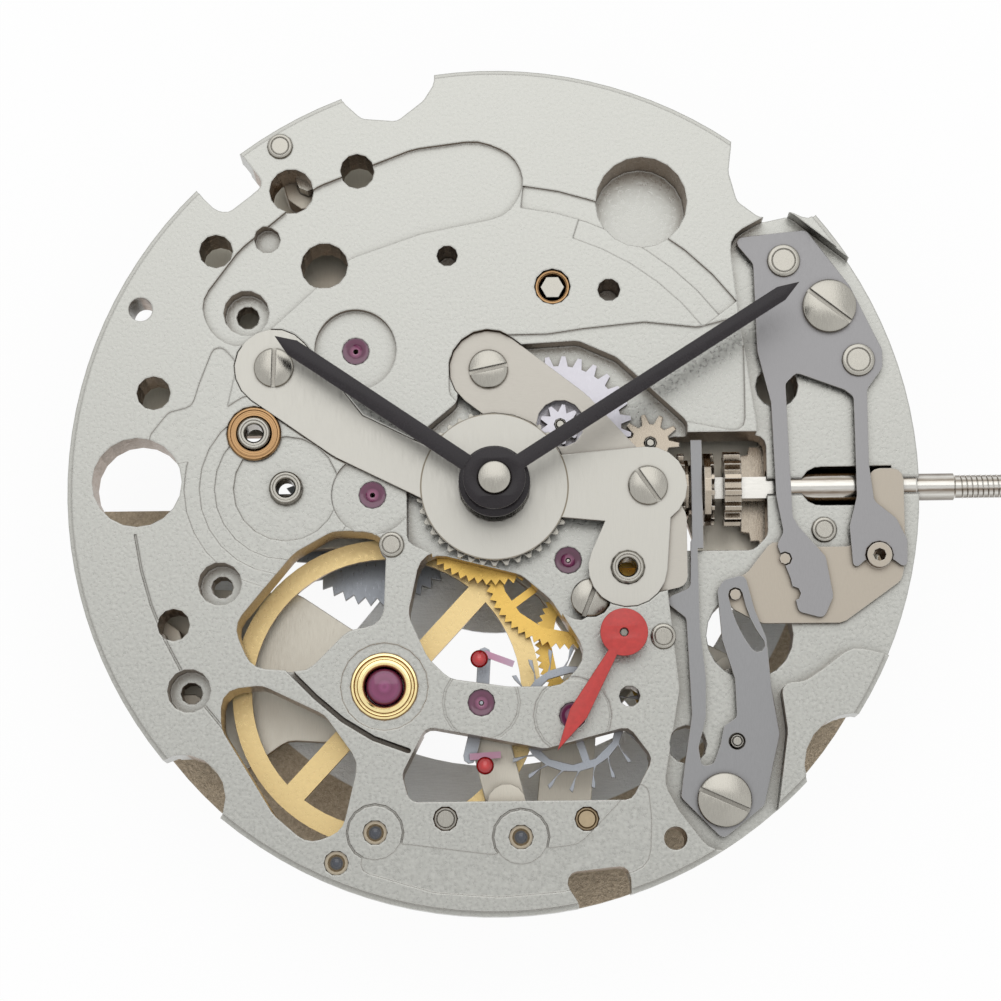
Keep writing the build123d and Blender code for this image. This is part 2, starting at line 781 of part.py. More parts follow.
def main_plate():
    profile = Polyline(
        (0, 0), (dial_seat_radius, 0), (dial_seat_radius, -dial_seat_height),
        (plate_radius, -dial_seat_height), (plate_radius, -dial_seat_height - flange_thickness),
        (plate_body_radius, -dial_seat_height - flange_thickness), (plate_body_radius, plate_back),
        (0, plate_back), close=True,
    )
    plate = revolve(Plane.XZ * make_face(profile), Axis.Z)
    deep = plate_back - cut_overrun
    cuts = []
    windows = (
        (balance_window_shares, 2), (lower_window_shares, 2), (train_window_shares, 2),
        (escape_window_shares, 1),
    )
    for shares, softness in windows:
        cuts.append(slab(share_outline(shares, softness * corner_radius), deep, cut_overrun))
    cuts.append(slab(keyless_window(), deep, cut_overrun))
    for x_share, y_share, radius_share in through_hole_shares:
        place = point((x_share, y_share))
        cuts.append(column(place, radius_share * plate_radius, deep, cut_overrun))
    for x_share, y_share, radius_share in dial_foot_shares:
        place = point((x_share, y_share))
        cuts.append(cylinder(place, radius_share * plate_radius, deep, cut_overrun))
    for x_share, y_share, radius_share in step_hole_shares:
        place = point((x_share, y_share))
        radius = radius_share * plate_radius
        cuts.append(column(place, radius, plate_back / 2, cut_overrun))
        cuts.append(column(place, radius / 2, deep, plate_back / 2))
    for x_share, y_share, radius_share in blind_hole_shares:
        cuts.append(column(point((x_share, y_share)), radius_share * plate_radius, plate_back / 3, cut_overrun))
    for x_share, y_share, radius_share in deep_hole_shares:
        place = point((x_share, y_share))
        cuts.append(column(place, radius_share * plate_radius, plate_back + deep_hole_floor, cut_overrun))
    cuts.append(slab(share_outline(motion_recess_shares, corner_radius), motion_floor, cut_overrun))
    cuts.append(slab(share_outline(keyless_recess_shares, 2 * corner_radius), keyless_floor, cut_overrun))
    cuts.extend(plate_notches())
    cuts.extend(plate_relief())
    cuts.extend(plate_seats())
    cuts.extend(plate_back_recesses())
    return plate - cuts


def keyless_window():
    """The opening round the clutch and the winding pinion, wider below for the yoke's arm."""
    inner = clutch_start - window_gap
    outer = winding_pinion_start + winding_pinion_length + window_side_gap
    upper = winding_pinion_radius + window_gap
    lower = -winding_pinion_radius - window_side_gap
    corners = ((inner, upper), (outer, upper), (outer, lower + window_gap), (outer - window_gap, lower),
               (inner + window_gap, lower), (inner, lower + window_gap))
    return soft_outline(corners, corner_radius)


def plate_notches():
    """The cut-outs round the rim that the case and its clamps use."""
    notches = []
    for x_share, y_share, radius_share in rim_notch_shares:
        place = point((x_share, y_share))
        notches.append(column(place, radius_share * plate_radius, plate_back - cut_overrun, cut_overrun))
    for shares in outline_notches:
        notches.append(slab(share_outline(shares, corner_radius), plate_back - cut_overrun, cut_overrun))
    return notches


def sector(inner_radius, outer_radius, headings):
    """A flat band round the centre, from one heading to another."""
    first, last = (radians(heading) for heading in headings)
    edge = arc_points(centre, outer_radius, first, last)
    edge += arc_points(centre, inner_radius, last, first)
    return make_face(Polyline(*edge, close=True))


def plate_relief():
    """The shallow steps and lines of the dial side: recesses, bands, rings and a slit."""
    lobe = share_outline(lobe_recess_shares, 4 * corner_radius)
    cuts = [slab(lobe, -lobe_depth, cut_overrun)]
    cuts.append(slab(share_outline(left_recess_shares, corner_radius), -relief_depth, cut_overrun))
    cuts.append(slab(share_outline(inner_recess_shares, corner_radius), -shallow_depth, cut_overrun))
    lower = share_outline(lower_recess_shares, 2 * corner_radius)
    for share in raised_pin_shares:
        lower -= dot(point(share), pin_disc_radius)
        groove = dot(point(share), pin_disc_radius) - dot(point(share), pin_disc_radius - pin_disc_groove)
        cuts.append(slab(groove, -relief_depth, cut_overrun))
    cuts.append(slab(lower, -relief_depth, cut_overrun))
    cuts.append(slab(sector(land_radius, band_outer_radius, land_headings), -relief_depth, cut_overrun))
    cuts.append(slab(sector(band_inner_radius, band_outer_radius, band_headings), -shallow_depth, cut_overrun))
    line = sector(scribed_radius, scribed_radius + scribed_width, scribed_headings)
    cuts.append(slab(line, -relief_depth, cut_overrun))
    for step in range(3):
        radius = ring_recess_radius - step * ring_recess_step
        cuts.append(column(point(recess_post_share), radius, -(step + 1) * relief_depth, cut_overrun))
    cuts.append(column(balance_place, shock_step_radius, -relief_depth, cut_overrun))
    for place in (pallet_place, escape_place):
        line = dot(place, jewel_disc_radius) - dot(place, jewel_disc_radius - scribed_width)
        cuts.append(slab(line, -relief_depth / 2, cut_overrun))
    slit = [point(share) for share in plate_slit_shares]
    for start, end in zip(slit, slit[1:]):
        cuts.append(slab(link(start, slit_width / 2, end, slit_width / 2), -slit_depth, cut_overrun))
    return cuts


def plate_seats():
    """Bores and seats for what stands in the plate."""
    cuts = []
    deep = plate_back - cut_overrun
    for place in (third_place, fourth_place, escape_place, pallet_place, reverser_place, reducer_place):
        cuts.append(column(place, jewel_seat_radius, deep, cut_overrun))
    for place in (reverser_place, reducer_place):
        cuts.append(cylinder(place, jewel_recess_radius, -jewel_recess_depth, cut_overrun))
    for share in barrel_foot_shares + train_foot_shares + cock_foot_shares:
        cuts.append(hidden_column(point(share), back_screw_radius / 2, deep, plate_back + stud_length))
    cuts.append(column(centre, centre_arbor_radius + running_gap, deep, cut_overrun))
    cuts.append(column(barrel_place, barrel_bush_radius, deep, cut_overrun))
    cuts.append(column(balance_place, shock_radius, deep, cut_overrun))
    for place in (minute_place, setting_place):
        cuts.append(column(place, minute_post_radius, deep, cut_overrun))
    for share in cover_screw_shares + (minute_bridge_screw_share, bridge_screw_share):
        cuts.append(hidden_column(point(share), screw_head_radius / 2, deep, cut_overrun))
    cuts.append(column(point(bridge_screw_share), screw_head_radius + fit_gap,
                       cover_level - fit_gap - screw_head_height, cut_overrun))
    cuts.append(slab(cover_face(fit_gap), cover_level, cut_overrun))
    cuts.append(slab(minute_bridge_face(fit_gap), minute_bridge_level, cut_overrun))
    for share in (jumper_screw_share, yoke_screw_share):
        cuts.append(hidden_column(point(share), lever_screw_radius / 2, deep, cut_overrun))
    for share in jumper_stud_shares:
        cuts.append(column(point(share), lever_stud_radius, deep, cut_overrun))
    for share in dial_stud_shares:
        cuts.append(column(point(share), dial_stud_radius, deep, cut_overrun))
    cuts.append(column(yoke_pivot, yoke_pin_radius, deep, cut_overrun))
    cuts.append(column(lever_pivot, lever_sleeve_radius + running_gap, deep, cut_overrun))
    for share in (cover_post_share, washer_post_share, recess_post_share):
        cuts.append(column(point(share), post_radius, deep, cut_overrun))
    cuts.append(column(point(washer_post_share), washer_radius, -shallow_depth, cut_overrun))
    cuts.append(column(point(recess_post_share), post_recess_radius, -2 * shallow_depth, cut_overrun))
    for share in raised_pin_shares + small_pin_shares:
        cuts.append(column(point(share), small_pin_radius, deep, cut_overrun))
    cuts.append(stem_bore())
    slot_start, slot_end = (share * plate_radius for share in stem_slot_shares)
    slot_middle = Pos((slot_start + slot_end) / 2, 0)
    slot = slot_middle * Rectangle(slot_end - slot_start, 2 * (stem_radius + running_gap))
    cuts.append(slab(slot + dot((slot_start, 0), stem_radius + running_gap), -stem_depth, cut_overrun))
    return cuts


def stem_bore():
    """The stem's hole: wide from the rim, then room for the square, then the pilot's bore."""
    rim_start = winding_pinion_start + winding_pinion_length
    rim_room = stem_radius + stem_bore_gap
    cut = along_stem(dot(centre, rim_room), rim_start, plate_radius - rim_start + cut_overrun)
    square_start = stem_square_start - stem_travel - running_gap
    square_room = stem_square * 2**0.5 / 2 + running_gap
    cut += along_stem(dot(centre, square_room), square_start, clutch_start - square_start)
    pilot_start = stem_pilot_start - stem_travel - running_gap
    pilot_room = stem_pilot_radius + running_gap
    return cut + along_stem(dot(centre, pilot_room), pilot_start, stem_square_start - pilot_start)


def plate_back_recesses():
    """Room behind the plate for the centre wheel, the escapement and the winding wheels."""
    deep = plate_back - cut_overrun
    cuts = []
    centre_tip = centre_module * centre_teeth / 2 + recess_gap
    third_pinion_tip = third_module * third_pinion_leaves
    cuts.append(hidden_column(centre, centre_tip, deep, centre_roof))
    cuts.append(hidden_column(third_place, third_pinion_tip, deep, centre_roof))
    cuts.append(hidden_column(escape_place, escape_tip_radius + recess_gap, deep, escapement_roof))
    cuts.append(hidden_column(pallet_place, pallet_arm_length + recess_gap, deep, escapement_roof))
    cuts.append(slab(link(pallet_place, roller_radius + recess_gap, balance_place, shock_radius + recess_gap),
                     deep, escapement_roof))
    foot_room = pallet_bridge_radius + running_gap
    cuts.append(slab(link(pallet_place, foot_room, point(pallet_bridge_foot_share), foot_room),
                     deep, escapement_roof))
    return cuts


def cover_face(room=0.0):
    """The cover's outline: a disc over the hour wheel with arms to its screws and post."""
    far_screw, near_screw = (point(share) for share in cover_screw_shares)
    elbow = point(cover_elbow_share)
    arm = cover_arm_radius + room
    boss = boss_radius + room
    face = dot(centre, cover_radius + room)
    face += link(far_screw, boss, elbow, arm)
    face += link(elbow, arm, point(cover_root_share), arm)
    face += link(centre, arm, near_screw, boss)
    return face + link(near_screw, arm, point(cover_post_share), boss)


def hour_wheel_cover():
    face = cover_face() - dot(centre, hour_boss_radius)
    face -= dot(point(cover_post_share), post_radius + fit_gap)
    cover = slab(face, cover_level, -cover_drop)
    cover -= [hidden_column(point(share), screw_head_radius / 2, cover_level - cut_overrun, 0)
              for share in cover_screw_shares]
    return cover


def grown(face, room):
    return offset(face, room, kind=Kind.INTERSECTION) if room > 0 else face


def minute_bridge_face(room=0.0):
    """The outline of the minute wheel's bridge, from its screw to the tail by the clutch."""
    boss = boss_radius + room
    face = link(point(minute_bridge_screw_share), boss, minute_place, boss)
    face += grown(share_outline(minute_bridge_tail_shares, corner_radius), room)
    return face + link(minute_place, boss, point(minute_bridge_tail_shares[0]), boss_radius / 2 + room)


def minute_wheel_bridge():
    screw = point(minute_bridge_screw_share)
    face = minute_bridge_face()
    face -= dot(minute_place, minute_window_radius)
    face -= dot(screw, screw_head_radius / 2, hidden_sag)
    face -= dot(point(cover_screw_shares[1]), screw_head_radius / 2, hidden_sag)
    face -= dot(point(cover_post_share), post_radius + fit_gap)
    face -= dot(centre, hour_module * hour_wheel_teeth / 2)
    return slab(face, minute_bridge_level, minute_bridge_level + minute_bridge_thickness)


def cover_screws():
    """The slotted screws of the cover, the minute wheel's bridge and the train."""
    shank = plate_back / 2
    screws = []
    for share, turn in zip(cover_screw_shares, cover_screw_turns):
        screws.append(slotted_screw(point(share), screw_head_radius, -cover_drop + screw_head_height / 2,
                                    -cover_drop, shank, turn))
    bridge_top = minute_bridge_level + minute_bridge_thickness
    screws.append(slotted_screw(point(minute_bridge_screw_share), screw_head_radius,
                                bridge_top + screw_head_height / 2, bridge_top, shank, minute_screw_turn))
    below_cover = cover_level - fit_gap
    screws.append(slotted_screw(point(bridge_screw_share), screw_head_radius, below_cover,
                                below_cover - screw_head_height, shank - cut_overrun, plate_screw_turn))
    return group(*screws)


def lever_screws():
    lever_top = -yoke_drop
    screws = []
    for share, turn in ((jumper_screw_share, jumper_screw_turn), (yoke_screw_share, yoke_screw_turn)):
        screws.append(slotted_screw(point(share), lever_screw_radius, lever_top + lever_screw_height,
                                    lever_top, plate_back / 2, turn))
    return group(*screws)


def lever_studs():
    """Round studs that locate the jumper, with the pin that the yoke turns on."""
    lever_top = -yoke_drop
    studs = [column(point(share), lever_stud_radius, lever_top - stud_length, lever_top + stud_rise)
             for share in jumper_stud_shares]
    studs.append(column(yoke_pivot, yoke_pin_radius, lever_top - stud_length, lever_top + stud_rise))
    return group(*studs)


def plate_studs():
    """Round studs and pins pressed into the dial side of the plate."""
    studs = []
    for share in dial_stud_shares:
        floor = keyless_floor if share == dial_stud_shares[0] else 0
        studs.append(column(point(share), dial_stud_radius, floor - stud_length, floor + stud_rise))
    for share in raised_pin_shares + small_pin_shares:
        studs.append(column(point(share), small_pin_radius, -stud_length, -shallow_depth))
    return group(*studs)


def guide_posts():
    posts = []
    for share in (cover_post_share, washer_post_share, recess_post_share):
        posts.append(tube(point(share), post_radius, post_bore_radius, plate_back / 2, stud_rise))
    return group(*posts)


def post_washer():
    return tube(point(washer_post_share), washer_radius - fit_gap, post_radius, -shallow_depth, 0)


def dial_side_jewels():
    jewels = []
    jewels.append(jewel(third_place, jewel_seat_radius, motion_floor - jewel_thickness, motion_floor))
    for place in (reverser_place, reducer_place):
        jewels.append(jewel(place, jewel_seat_radius, -jewel_recess_depth - jewel_thickness, -jewel_recess_depth))
    jewels.append(tube(fourth_place, jewel_seat_radius, fourth_pivot_radius + fit_gap, -jewel_thickness, 0))
    for place in (escape_place, pallet_place):
        jewels.append(jewel(place, jewel_seat_radius, -jewel_drop - jewel_thickness, -jewel_drop))
    return group(*jewels)


def shock_setting(place, low, high):
    return tube(place, shock_radius, shock_bore_radius, low, high)


def shock_jewels():
    return [
        column(balance_place, shock_jewel_radius, -shock_height, -jewel_drop),
        column(balance_place, shock_jewel_radius, bridge_back + jewel_drop, bridge_back + shock_height),
    ]


def centre_wheel():
    return spoked_gear(centre, centre_teeth, centre_module, centre_wheel_level, 4)


def centre_pinion():
    leaf_high = barrel_top - barrel_height + barrel_gear_thickness + pinion_overrun
    leaf_low = barrel_bottom - pinion_overrun
    body = gear(centre, centre_pinion_leaves, barrel_module, leaf_low, leaf_high, 0, centre_pinion_turn,
                fine_tip_share)
    body += hidden_column(centre, hub_radius, centre_wheel_level, centre_wheel_level + wheel_thickness)
    body += hidden_column(centre, centre_arbor_radius - pivot_radius, bridge_front, motion_floor)
    body += column(centre, arbor_radius, bridge_back, cannon_height - cut_overrun)
    return body


def third_wheel():
    return spoked_gear(third_place, third_teeth, third_module, third_wheel_level, 5)


def third_pinion():
    return pinion(third_place, third_pinion_leaves, centre_module, centre_wheel_level - pinion_overrun,
                  centre_wheel_level + wheel_thickness + pinion_overrun, bridge_back + axial_gap,
                  motion_floor - jewel_drop, third_wheel_level, third_pinion_turn)


def fourth_wheel():
    return spoked_gear(fourth_place, fourth_teeth, fourth_module, fourth_wheel_level, 5)


def fourth_pinion():
    low = bridge_back + axial_gap
    body = pinion(fourth_place, fourth_pinion_leaves, third_module, third_wheel_level - pinion_overrun,
                  third_wheel_level + wheel_thickness + pinion_overrun, low, -jewel_thickness,
                  fourth_wheel_level, fourth_pinion_turn)
    return body + column(fourth_place, fourth_pivot_radius, plate_back, seconds_hand_height)


def escape_wheel():
    """Club teeth that lean forward, on a thin rim with five arms."""
    pitch = 2 * pi / escape_teeth
    corners = []
    for tooth in range(escape_teeth):
        start = pitch * tooth
        for radius_share, turn_share in escape_tooth_shares:
            radius = escape_rim_radius + radius_share * (escape_tip_radius - escape_rim_radius)
            corners.append((radius * cos(start + turn_share * pitch), radius * sin(start + turn_share * pitch)))
    face = make_face(Polyline(*corners, close=True))
    face -= arm_windows(2 * hub_radius, escape_rim_radius - escape_rim_width, escape_arms, arm_width)
    face -= disc(centre, hub_radius)
    return Pos(escape_place[0], escape_place[1], 0) * slab(
        face, escape_wheel_level, escape_wheel_level + wheel_thickness
    )


def escape_pinion():
    leaf_low = fourth_wheel_level - pinion_overrun
    return pinion(escape_place, escape_pinion_leaves, fourth_module, leaf_low,
                  fourth_wheel_level + wheel_thickness + pinion_overrun, bridge_back + axial_gap,
                  -jewel_drop, escape_wheel_level, escape_pinion_turn)


def pallet_frame():
    """Where the fork points, and the directions of its two arms."""
    to_escape = degrees(atan2(escape_place[1] - pallet_place[1], escape_place[0] - pallet_place[0]))
    to_balance = degrees(atan2(balance_place[1] - pallet_place[1], balance_place[0] - pallet_place[0]))
    return to_escape, to_balance


def pallet_tips():
    to_escape, _ = pallet_frame()
    return [polar(pallet_place, pallet_arm_length, to_escape + side * pallet_arm_spread) for side in (1, -1)]


def pallet_fork():
    """Lever with two arms for the stones and a forked tail for the roller's pin."""
    to_escape, to_balance = pallet_frame()
    face = dot(pallet_place, hub_radius)
    for tip in pallet_tips():
        face += link(pallet_place, pallet_arm_width, tip, pallet_arm_width)
    tail_length = balance_distance - roller_pin_reach
    tail_end = polar(pallet_place, tail_length - fork_horn_gap, to_balance)
    face += link(pallet_place, pallet_arm_width, tail_end, fork_width)
    for side in (1, -1):
        root = polar(tail_end, fork_horn_gap / 2, to_balance + 90 * side)
        horn = polar(root, 2 * fork_horn_gap, to_balance)
        face += link(root, fork_width / 2, horn, fork_width / 3)
        face += link(tail_end, fork_width / 2, root, fork_width / 2.5)
    face -= dot(pallet_place, arbor_radius)
    return slab(face, escape_wheel_level, escape_wheel_level + pallet_thickness)


def stone_places():
    to_escape, _ = pallet_frame()
    return [(tip, to_escape - side * stone_heading) for tip, side in zip(pallet_tips(), (1, -1))]


def pallet_stones():
    stones = []
    top = escape_wheel_level + pallet_thickness
    for tip, heading in stone_places():
        bar = Pos(tip[0], tip[1]) * Rot(0, 0, heading) * Pos(stone_length / 2, 0)
        stones.append(slab(bar * Rectangle(stone_length, stone_width), top, top + stone_rise))
    return group(*stones)


def pallet_arbor():
    arbor = hidden_column(pallet_place, arbor_radius, pallet_bridge_high + jewel_thickness / 2,
                   -jewel_drop - jewel_thickness)
    return arbor + hidden_column(pallet_place, pivot_radius, pallet_bridge_low, -jewel_drop)


def pallet_bridge():
    """The small cock under the fork, clear of the balance that swings below it."""
    foot = point(pallet_bridge_foot_share)
    face = link(pallet_place, pallet_bridge_radius, foot, pallet_bridge_radius)
    cock = slab(face, pallet_bridge_low, pallet_bridge_high)
    cock += column(foot, pallet_bridge_radius, pallet_bridge_high, escapement_roof)
    return cock - column(pallet_place, bridge_jewel_radius, pallet_bridge_low - cut_overrun, plate_back + train_space)


def balance_wheel():
    arms = Rot(0, 0, balance_arm_angle) * Rectangle(2 * balance_radius - balance_rim_width, balance_arm_width)
    rim = disc(centre, balance_radius) - disc(centre, balance_radius - balance_rim_width)
    face = rim + arms + dot(centre, 2 * staff_radius) - dot(centre, staff_radius)
    return Pos(balance_place[0], balance_place[1], 0) * slab(
        face, balance_level, balance_level + balance_rim_height
    )


def balance_staff():
    staff = hidden_column(balance_place, staff_radius, cock_inner, roller_level + roller_thickness + roller_pin_gap)
    staff += hidden_column(balance_place, pivot_radius, bridge_back + shock_height - fit_gap, -shock_height + fit_gap)
    return staff


def roller():
    return tube(balance_place, roller_radius, staff_radius, roller_level, roller_level + roller_thickness)


def roller_jewel():
    _, to_balance = pallet_frame()
    place = polar(balance_place, -roller_pin_reach, to_balance)
    return column(place, roller_pin_radius, roller_level + roller_thickness,
                  escape_wheel_level + pallet_thickness)


def spiral(turns, inner_radius, pitch, width):
    """A flat strip that opens by the pitch in each turn."""
    outer = []
    inner = []
    for step in range(turns * spiral_steps + 1):
        angle = 360 * step / spiral_steps
        radius = inner_radius + pitch * step / spiral_steps
        outer.append(polar(centre, radius + width / 2, angle))
        inner.append(polar(centre, radius - width / 2, angle))
    return make_face(Polyline(*outer, *reversed(inner), close=True))


def hairspring():
    face = spiral(hairspring_turns, hairspring_inner_radius, hairspring_pitch, hairspring_width)
    low = balance_level - axial_gap - hairspring_height
    return Pos(balance_place[0], balance_place[1], 0) * slab(face, low, low + hairspring_height)


def collet():
    low = balance_level - axial_gap - hairspring_height
    return tube(balance_place, collet_radius, staff_radius, low, balance_level)


def barrel_drum():
    """A toothed drum, open inside for the spring, with its cover on the dial side."""
    low, high = barrel_bottom, barrel_top
    wall = disc(barrel_place, barrel_wall_radius)
    room = disc(barrel_place, barrel_wall_radius - barrel_wall)
    drum = slab(wall - room, low + barrel_wall, high - barrel_wall)
    drum += slab(wall - dot(barrel_place, barrel_pivot_radius + fit_gap), low, low + barrel_wall)
    teeth = gear_face(barrel_teeth, barrel_module, 0, pointed_tip_share)
    teeth -= disc(centre, barrel_wall_radius - barrel_wall)
    drum += Pos(barrel_place[0], barrel_place[1], 0) * slab(teeth, low, low + barrel_gear_thickness)
    return drum


def barrel_cover():
    face = disc(barrel_place, barrel_wall_radius) - dot(barrel_place, barrel_pivot_radius + fit_gap)
    return slab(face, barrel_top - barrel_wall, barrel_top)


def barrel_arbor():
    low = winding_level - fit_gap
    arbor = hidden_column(barrel_place, barrel_arbor_radius, barrel_bottom + barrel_wall + axial_gap,
                   barrel_top - barrel_wall - axial_gap)
    return arbor + hidden_column(barrel_place, barrel_pivot_radius, low, -jewel_drop)


def mainspring():
    """The coiled spring, whose outer end meets the drum's wall."""
    outer_radius = barrel_wall_radius - barrel_wall - mainspring_width / 2 - fit_gap
    pitch = (outer_radius - mainspring_inner_radius) / mainspring_turns
    face = spiral(mainspring_turns, mainspring_inner_radius, pitch, mainspring_width)
    low = barrel_bottom + barrel_wall + axial_gap
    high = barrel_top - barrel_wall - axial_gap
    return Pos(barrel_place[0], barrel_place[1], 0) * slab(face, low, high)


def barrel_bush():
    return tube(barrel_place, barrel_bush_radius, barrel_pivot_radius + fit_gap, plate_back, -jewel_drop)


def cannon_pinion():
    low = motion_floor + axial_gap / 2
    leaves_high = low + 2 * wheel_thickness + axial_gap
    body = gear(centre, cannon_teeth, cannon_module, low, leaves_high)
    body += column(centre, cannon_radius, low, cannon_height)
    return body - column(centre, arbor_radius, low - cut_overrun, cannon_height - cut_overrun)


def minute_wheel():
    bore = minute_post_radius + fit_gap
    wheel = gear(minute_place, minute_wheel_teeth, cannon_module, minute_wheel_level,
                 minute_wheel_level + wheel_thickness, bore, minute_wheel_turn)
    wheel += gear(minute_place, minute_pinion_leaves, hour_module, minute_wheel_level + wheel_thickness,
                  minute_bridge_level - axial_gap, bore, 0, fine_tip_share)
    return wheel


def minute_wheel_post():
    return column(minute_place, minute_post_radius, plate_back / 2 - cut_overrun, minute_bridge_level)


def setting_wheel():
    return gear(setting_place, setting_wheel_teeth, cannon_module, minute_wheel_level,
                minute_wheel_level + wheel_thickness, minute_post_radius + fit_gap, setting_wheel_turn)


def setting_wheel_post():
    return column(setting_place, minute_post_radius, plate_back / 2 - cut_overrun,
                  minute_wheel_level + wheel_thickness + axial_gap)


def hour_wheel():
    bore = cannon_radius + fit_gap
    wheel = gear(centre, hour_wheel_teeth, hour_module, hour_wheel_level,
                 hour_wheel_level + wheel_thickness, bore, hour_wheel_turn, fine_tip_share)
    wheel += tube(centre, hour_pipe_radius, bore, hour_wheel_level, hour_hand_height)
    return wheel


def straight_hand(length, width, boss_radius, bore, low, angle):
    """A baton with a bevelled tip on a round boss."""
    half = width / 2
    baton = make_face(Polyline((0, half), (length - hand_tip_length, half), (length, 0.0),
                               (length - hand_tip_length, -half), (0, -half), close=True))
    face = baton + dot(centre, boss_radius) - dot(centre, bore)
    return Rot(0, 0, angle) * slab(face, low, low + hand_thickness)


def hour_hand():
    low = hour_hand_height - hand_thickness
    hand = straight_hand(hour_hand_length, hour_hand_width, hour_boss_radius, hour_pipe_radius, low,
                         hour_hand_angle)
    return hand + tube(centre, hour_tube_radius, hour_pipe_radius, hour_tube_height, low)


def minute_hand():
    return straight_hand(minute_hand_length, minute_hand_width, minute_boss_radius, cannon_radius,
                         minute_hand_height, minute_hand_angle)


def seconds_hand():
    """A blade that widens from its boss and ends in a point."""
    reach = seconds_hand_length
    root, widest = seconds_hand_root_width / 2, seconds_hand_wide_width / 2
    blade = make_face(Polyline((0, root), (reach - hand_tip_length, widest), (reach, 0.0),
                               (reach - hand_tip_length, -widest), (0, -root), close=True))
    face = blade + disc(centre, seconds_boss_radius)
    turn = Pos(fourth_place[0], fourth_place[1], 0) * Rot(0, 0, seconds_hand_angle)
    hand = turn * slab(face, seconds_hand_height, seconds_hand_height + hand_thickness)
    hand += column(fourth_place, seconds_tube_radius, fit_gap + axial_gap, seconds_hand_height)
    return hand - column(fourth_place, fourth_pivot_radius, -cut_overrun, seconds_hand_height + cut_overrun)


def along_stem(face, start, length):
    """A face drawn out along the stem's axis from a distance out of the centre."""
    return Pos(0, 0, -stem_depth) * extrude(Plane.YZ.offset(start) * face, length)


def winding_stem():
    stem = along_stem(dot(centre, stem_pilot_radius), stem_pilot_start, stem_square_start - stem_pilot_start)
    stem += along_stem(Rectangle(stem_square, stem_square), stem_square_start, stem_square_end - stem_square_start)
    groove_start = stem_groove_place - stem_groove_width / 2
    stem += along_stem(dot(centre, stem_radius), stem_square_end, groove_start - stem_square_end)
    stem += along_stem(dot(centre, stem_groove_radius), groove_start, stem_groove_width)
    groove_end = groove_start + stem_groove_width
    stem += along_stem(dot(centre, stem_radius), groove_end, stem_shoulder_end - groove_end)
    stem += along_stem(dot(centre, stem_outer_radius), stem_shoulder_end, stem_thread_start - stem_shoulder_end)
    stem += along_stem(disc(centre, stem_thread_radius), stem_thread_start, stem_end - stem_thread_start)
    return stem


def clutch():
    """The sliding pinion: contrate teeth inside, a groove, and slanted teeth outside."""
    flange = (clutch_length - clutch_groove_width) / 2
    square = Rectangle(stem_square + 2 * fit_gap, stem_square + 2 * fit_gap)
    tooth_root = clutch_radius - clutch_tooth_height
    body = along_stem(dot(centre, clutch_groove_radius) - square, clutch_start, clutch_length)
    crown = toothed_face(clutch_teeth, tooth_root, clutch_radius, face_tip_share, face_root_share)
    body += along_stem(crown - square, clutch_start, clutch_tooth_height)
    body += along_stem(dot(centre, tooth_root) - square, clutch_start, flange)
    outer_start = clutch_start + clutch_length - flange
    body += along_stem(dot(centre, clutch_radius) - square, outer_start, flange - clutch_tooth_height / 2)
    ratchet = toothed_face(clutch_teeth, clutch_groove_radius, clutch_radius, face_tip_share,
                           face_root_share)
    body += along_stem(ratchet - square, clutch_start + clutch_length - clutch_tooth_height / 2,
                       clutch_tooth_height / 2)
    return body


def winding_pinion():
    bore = dot(centre, stem_square * 2**0.5 / 2 + fit_gap + round_sag)
    root = winding_pinion_radius - clutch_tooth_height
    teeth = toothed_face(winding_pinion_teeth, root, winding_pinion_radius, face_tip_share,
                         face_root_share)
    return along_stem(teeth - bore, winding_pinion_start, winding_pinion_length)


def setting_lever():
    face = share_outline(setting_lever_shares, corner_radius) - disc(lever_pivot, lever_sleeve_radius)
    low = -setting_lever_drop - setting_lever_thickness
    high = -setting_lever_drop
    lever = slab(face, low, high)
    lever += column(lever_pin, lever_pin_radius, high, -yoke_drop)
    lever += column(jumper_pin, lever_pin_radius, high, -yoke_drop)
    stem_pin = (stem_groove_place, 0.0)
    lever += column(stem_pin, lever_stem_pin_radius, -stem_depth + stem_groove_radius + fit_gap, low)
    return lever


def setting_lever_sleeve():
    face = disc(lever_pivot, lever_sleeve_radius) - dot(lever_pivot, lever_sleeve_bore)
    return slab(face, plate_back + cut_overrun, -yoke_drop + stud_rise)


def setting_lever_jumper():
    """The flat spring plate whose left arm clicks on the lever and right arm holds its sleeve."""
    face = share_outline(jumper_shares, corner_radius / 2)
    face -= dot(point(jumper_screw_share), lever_screw_radius / 2, hidden_sag)
    for share in jumper_stud_shares:
        face -= dot(point(share), lever_stud_radius)
    face -= dot(lever_pivot, lever_sleeve_radius + running_gap)
    notch = lever_pin_radius + running_gap
    face -= dot(jumper_pin, notch)
    face -= dot(turned_about(jumper_pin, lever_pivot, lever_swing), notch)
    return slab(face, -yoke_drop - yoke_thickness, -yoke_drop)


def turned_about(place, pivot, angle):
    distance = gap_between(pivot, place)
    heading = degrees(atan2(place[1] - pivot[1], place[0] - pivot[0]))
    return polar(pivot, distance, heading + angle)


def yoke():
    """The lever that moves the clutch: a slotted arm, a spring arm and a finger in the groove."""
    face = share_outline(yoke_shares, corner_radius / 2)
    face -= dot(point(yoke_screw_share), lever_screw_radius / 2 + yoke_screw_gap)
    face -= disc(yoke_pivot, yoke_pin_radius + running_gap)
    face -= yoke_slot()
    body = slab(face, -yoke_drop - yoke_thickness, -yoke_drop)
    middle = clutch_start + clutch_length / 2
    finger_start = point(yoke_tip_share)[1] - finger_overlap
    finger_length = clutch_groove_radius + finger_reach - finger_start
    finger = Pos(middle, finger_start + finger_length / 2) * Rectangle(yoke_finger_width, finger_length)
    return body + slab(finger, -yoke_drop - yoke_thickness, -yoke_drop)


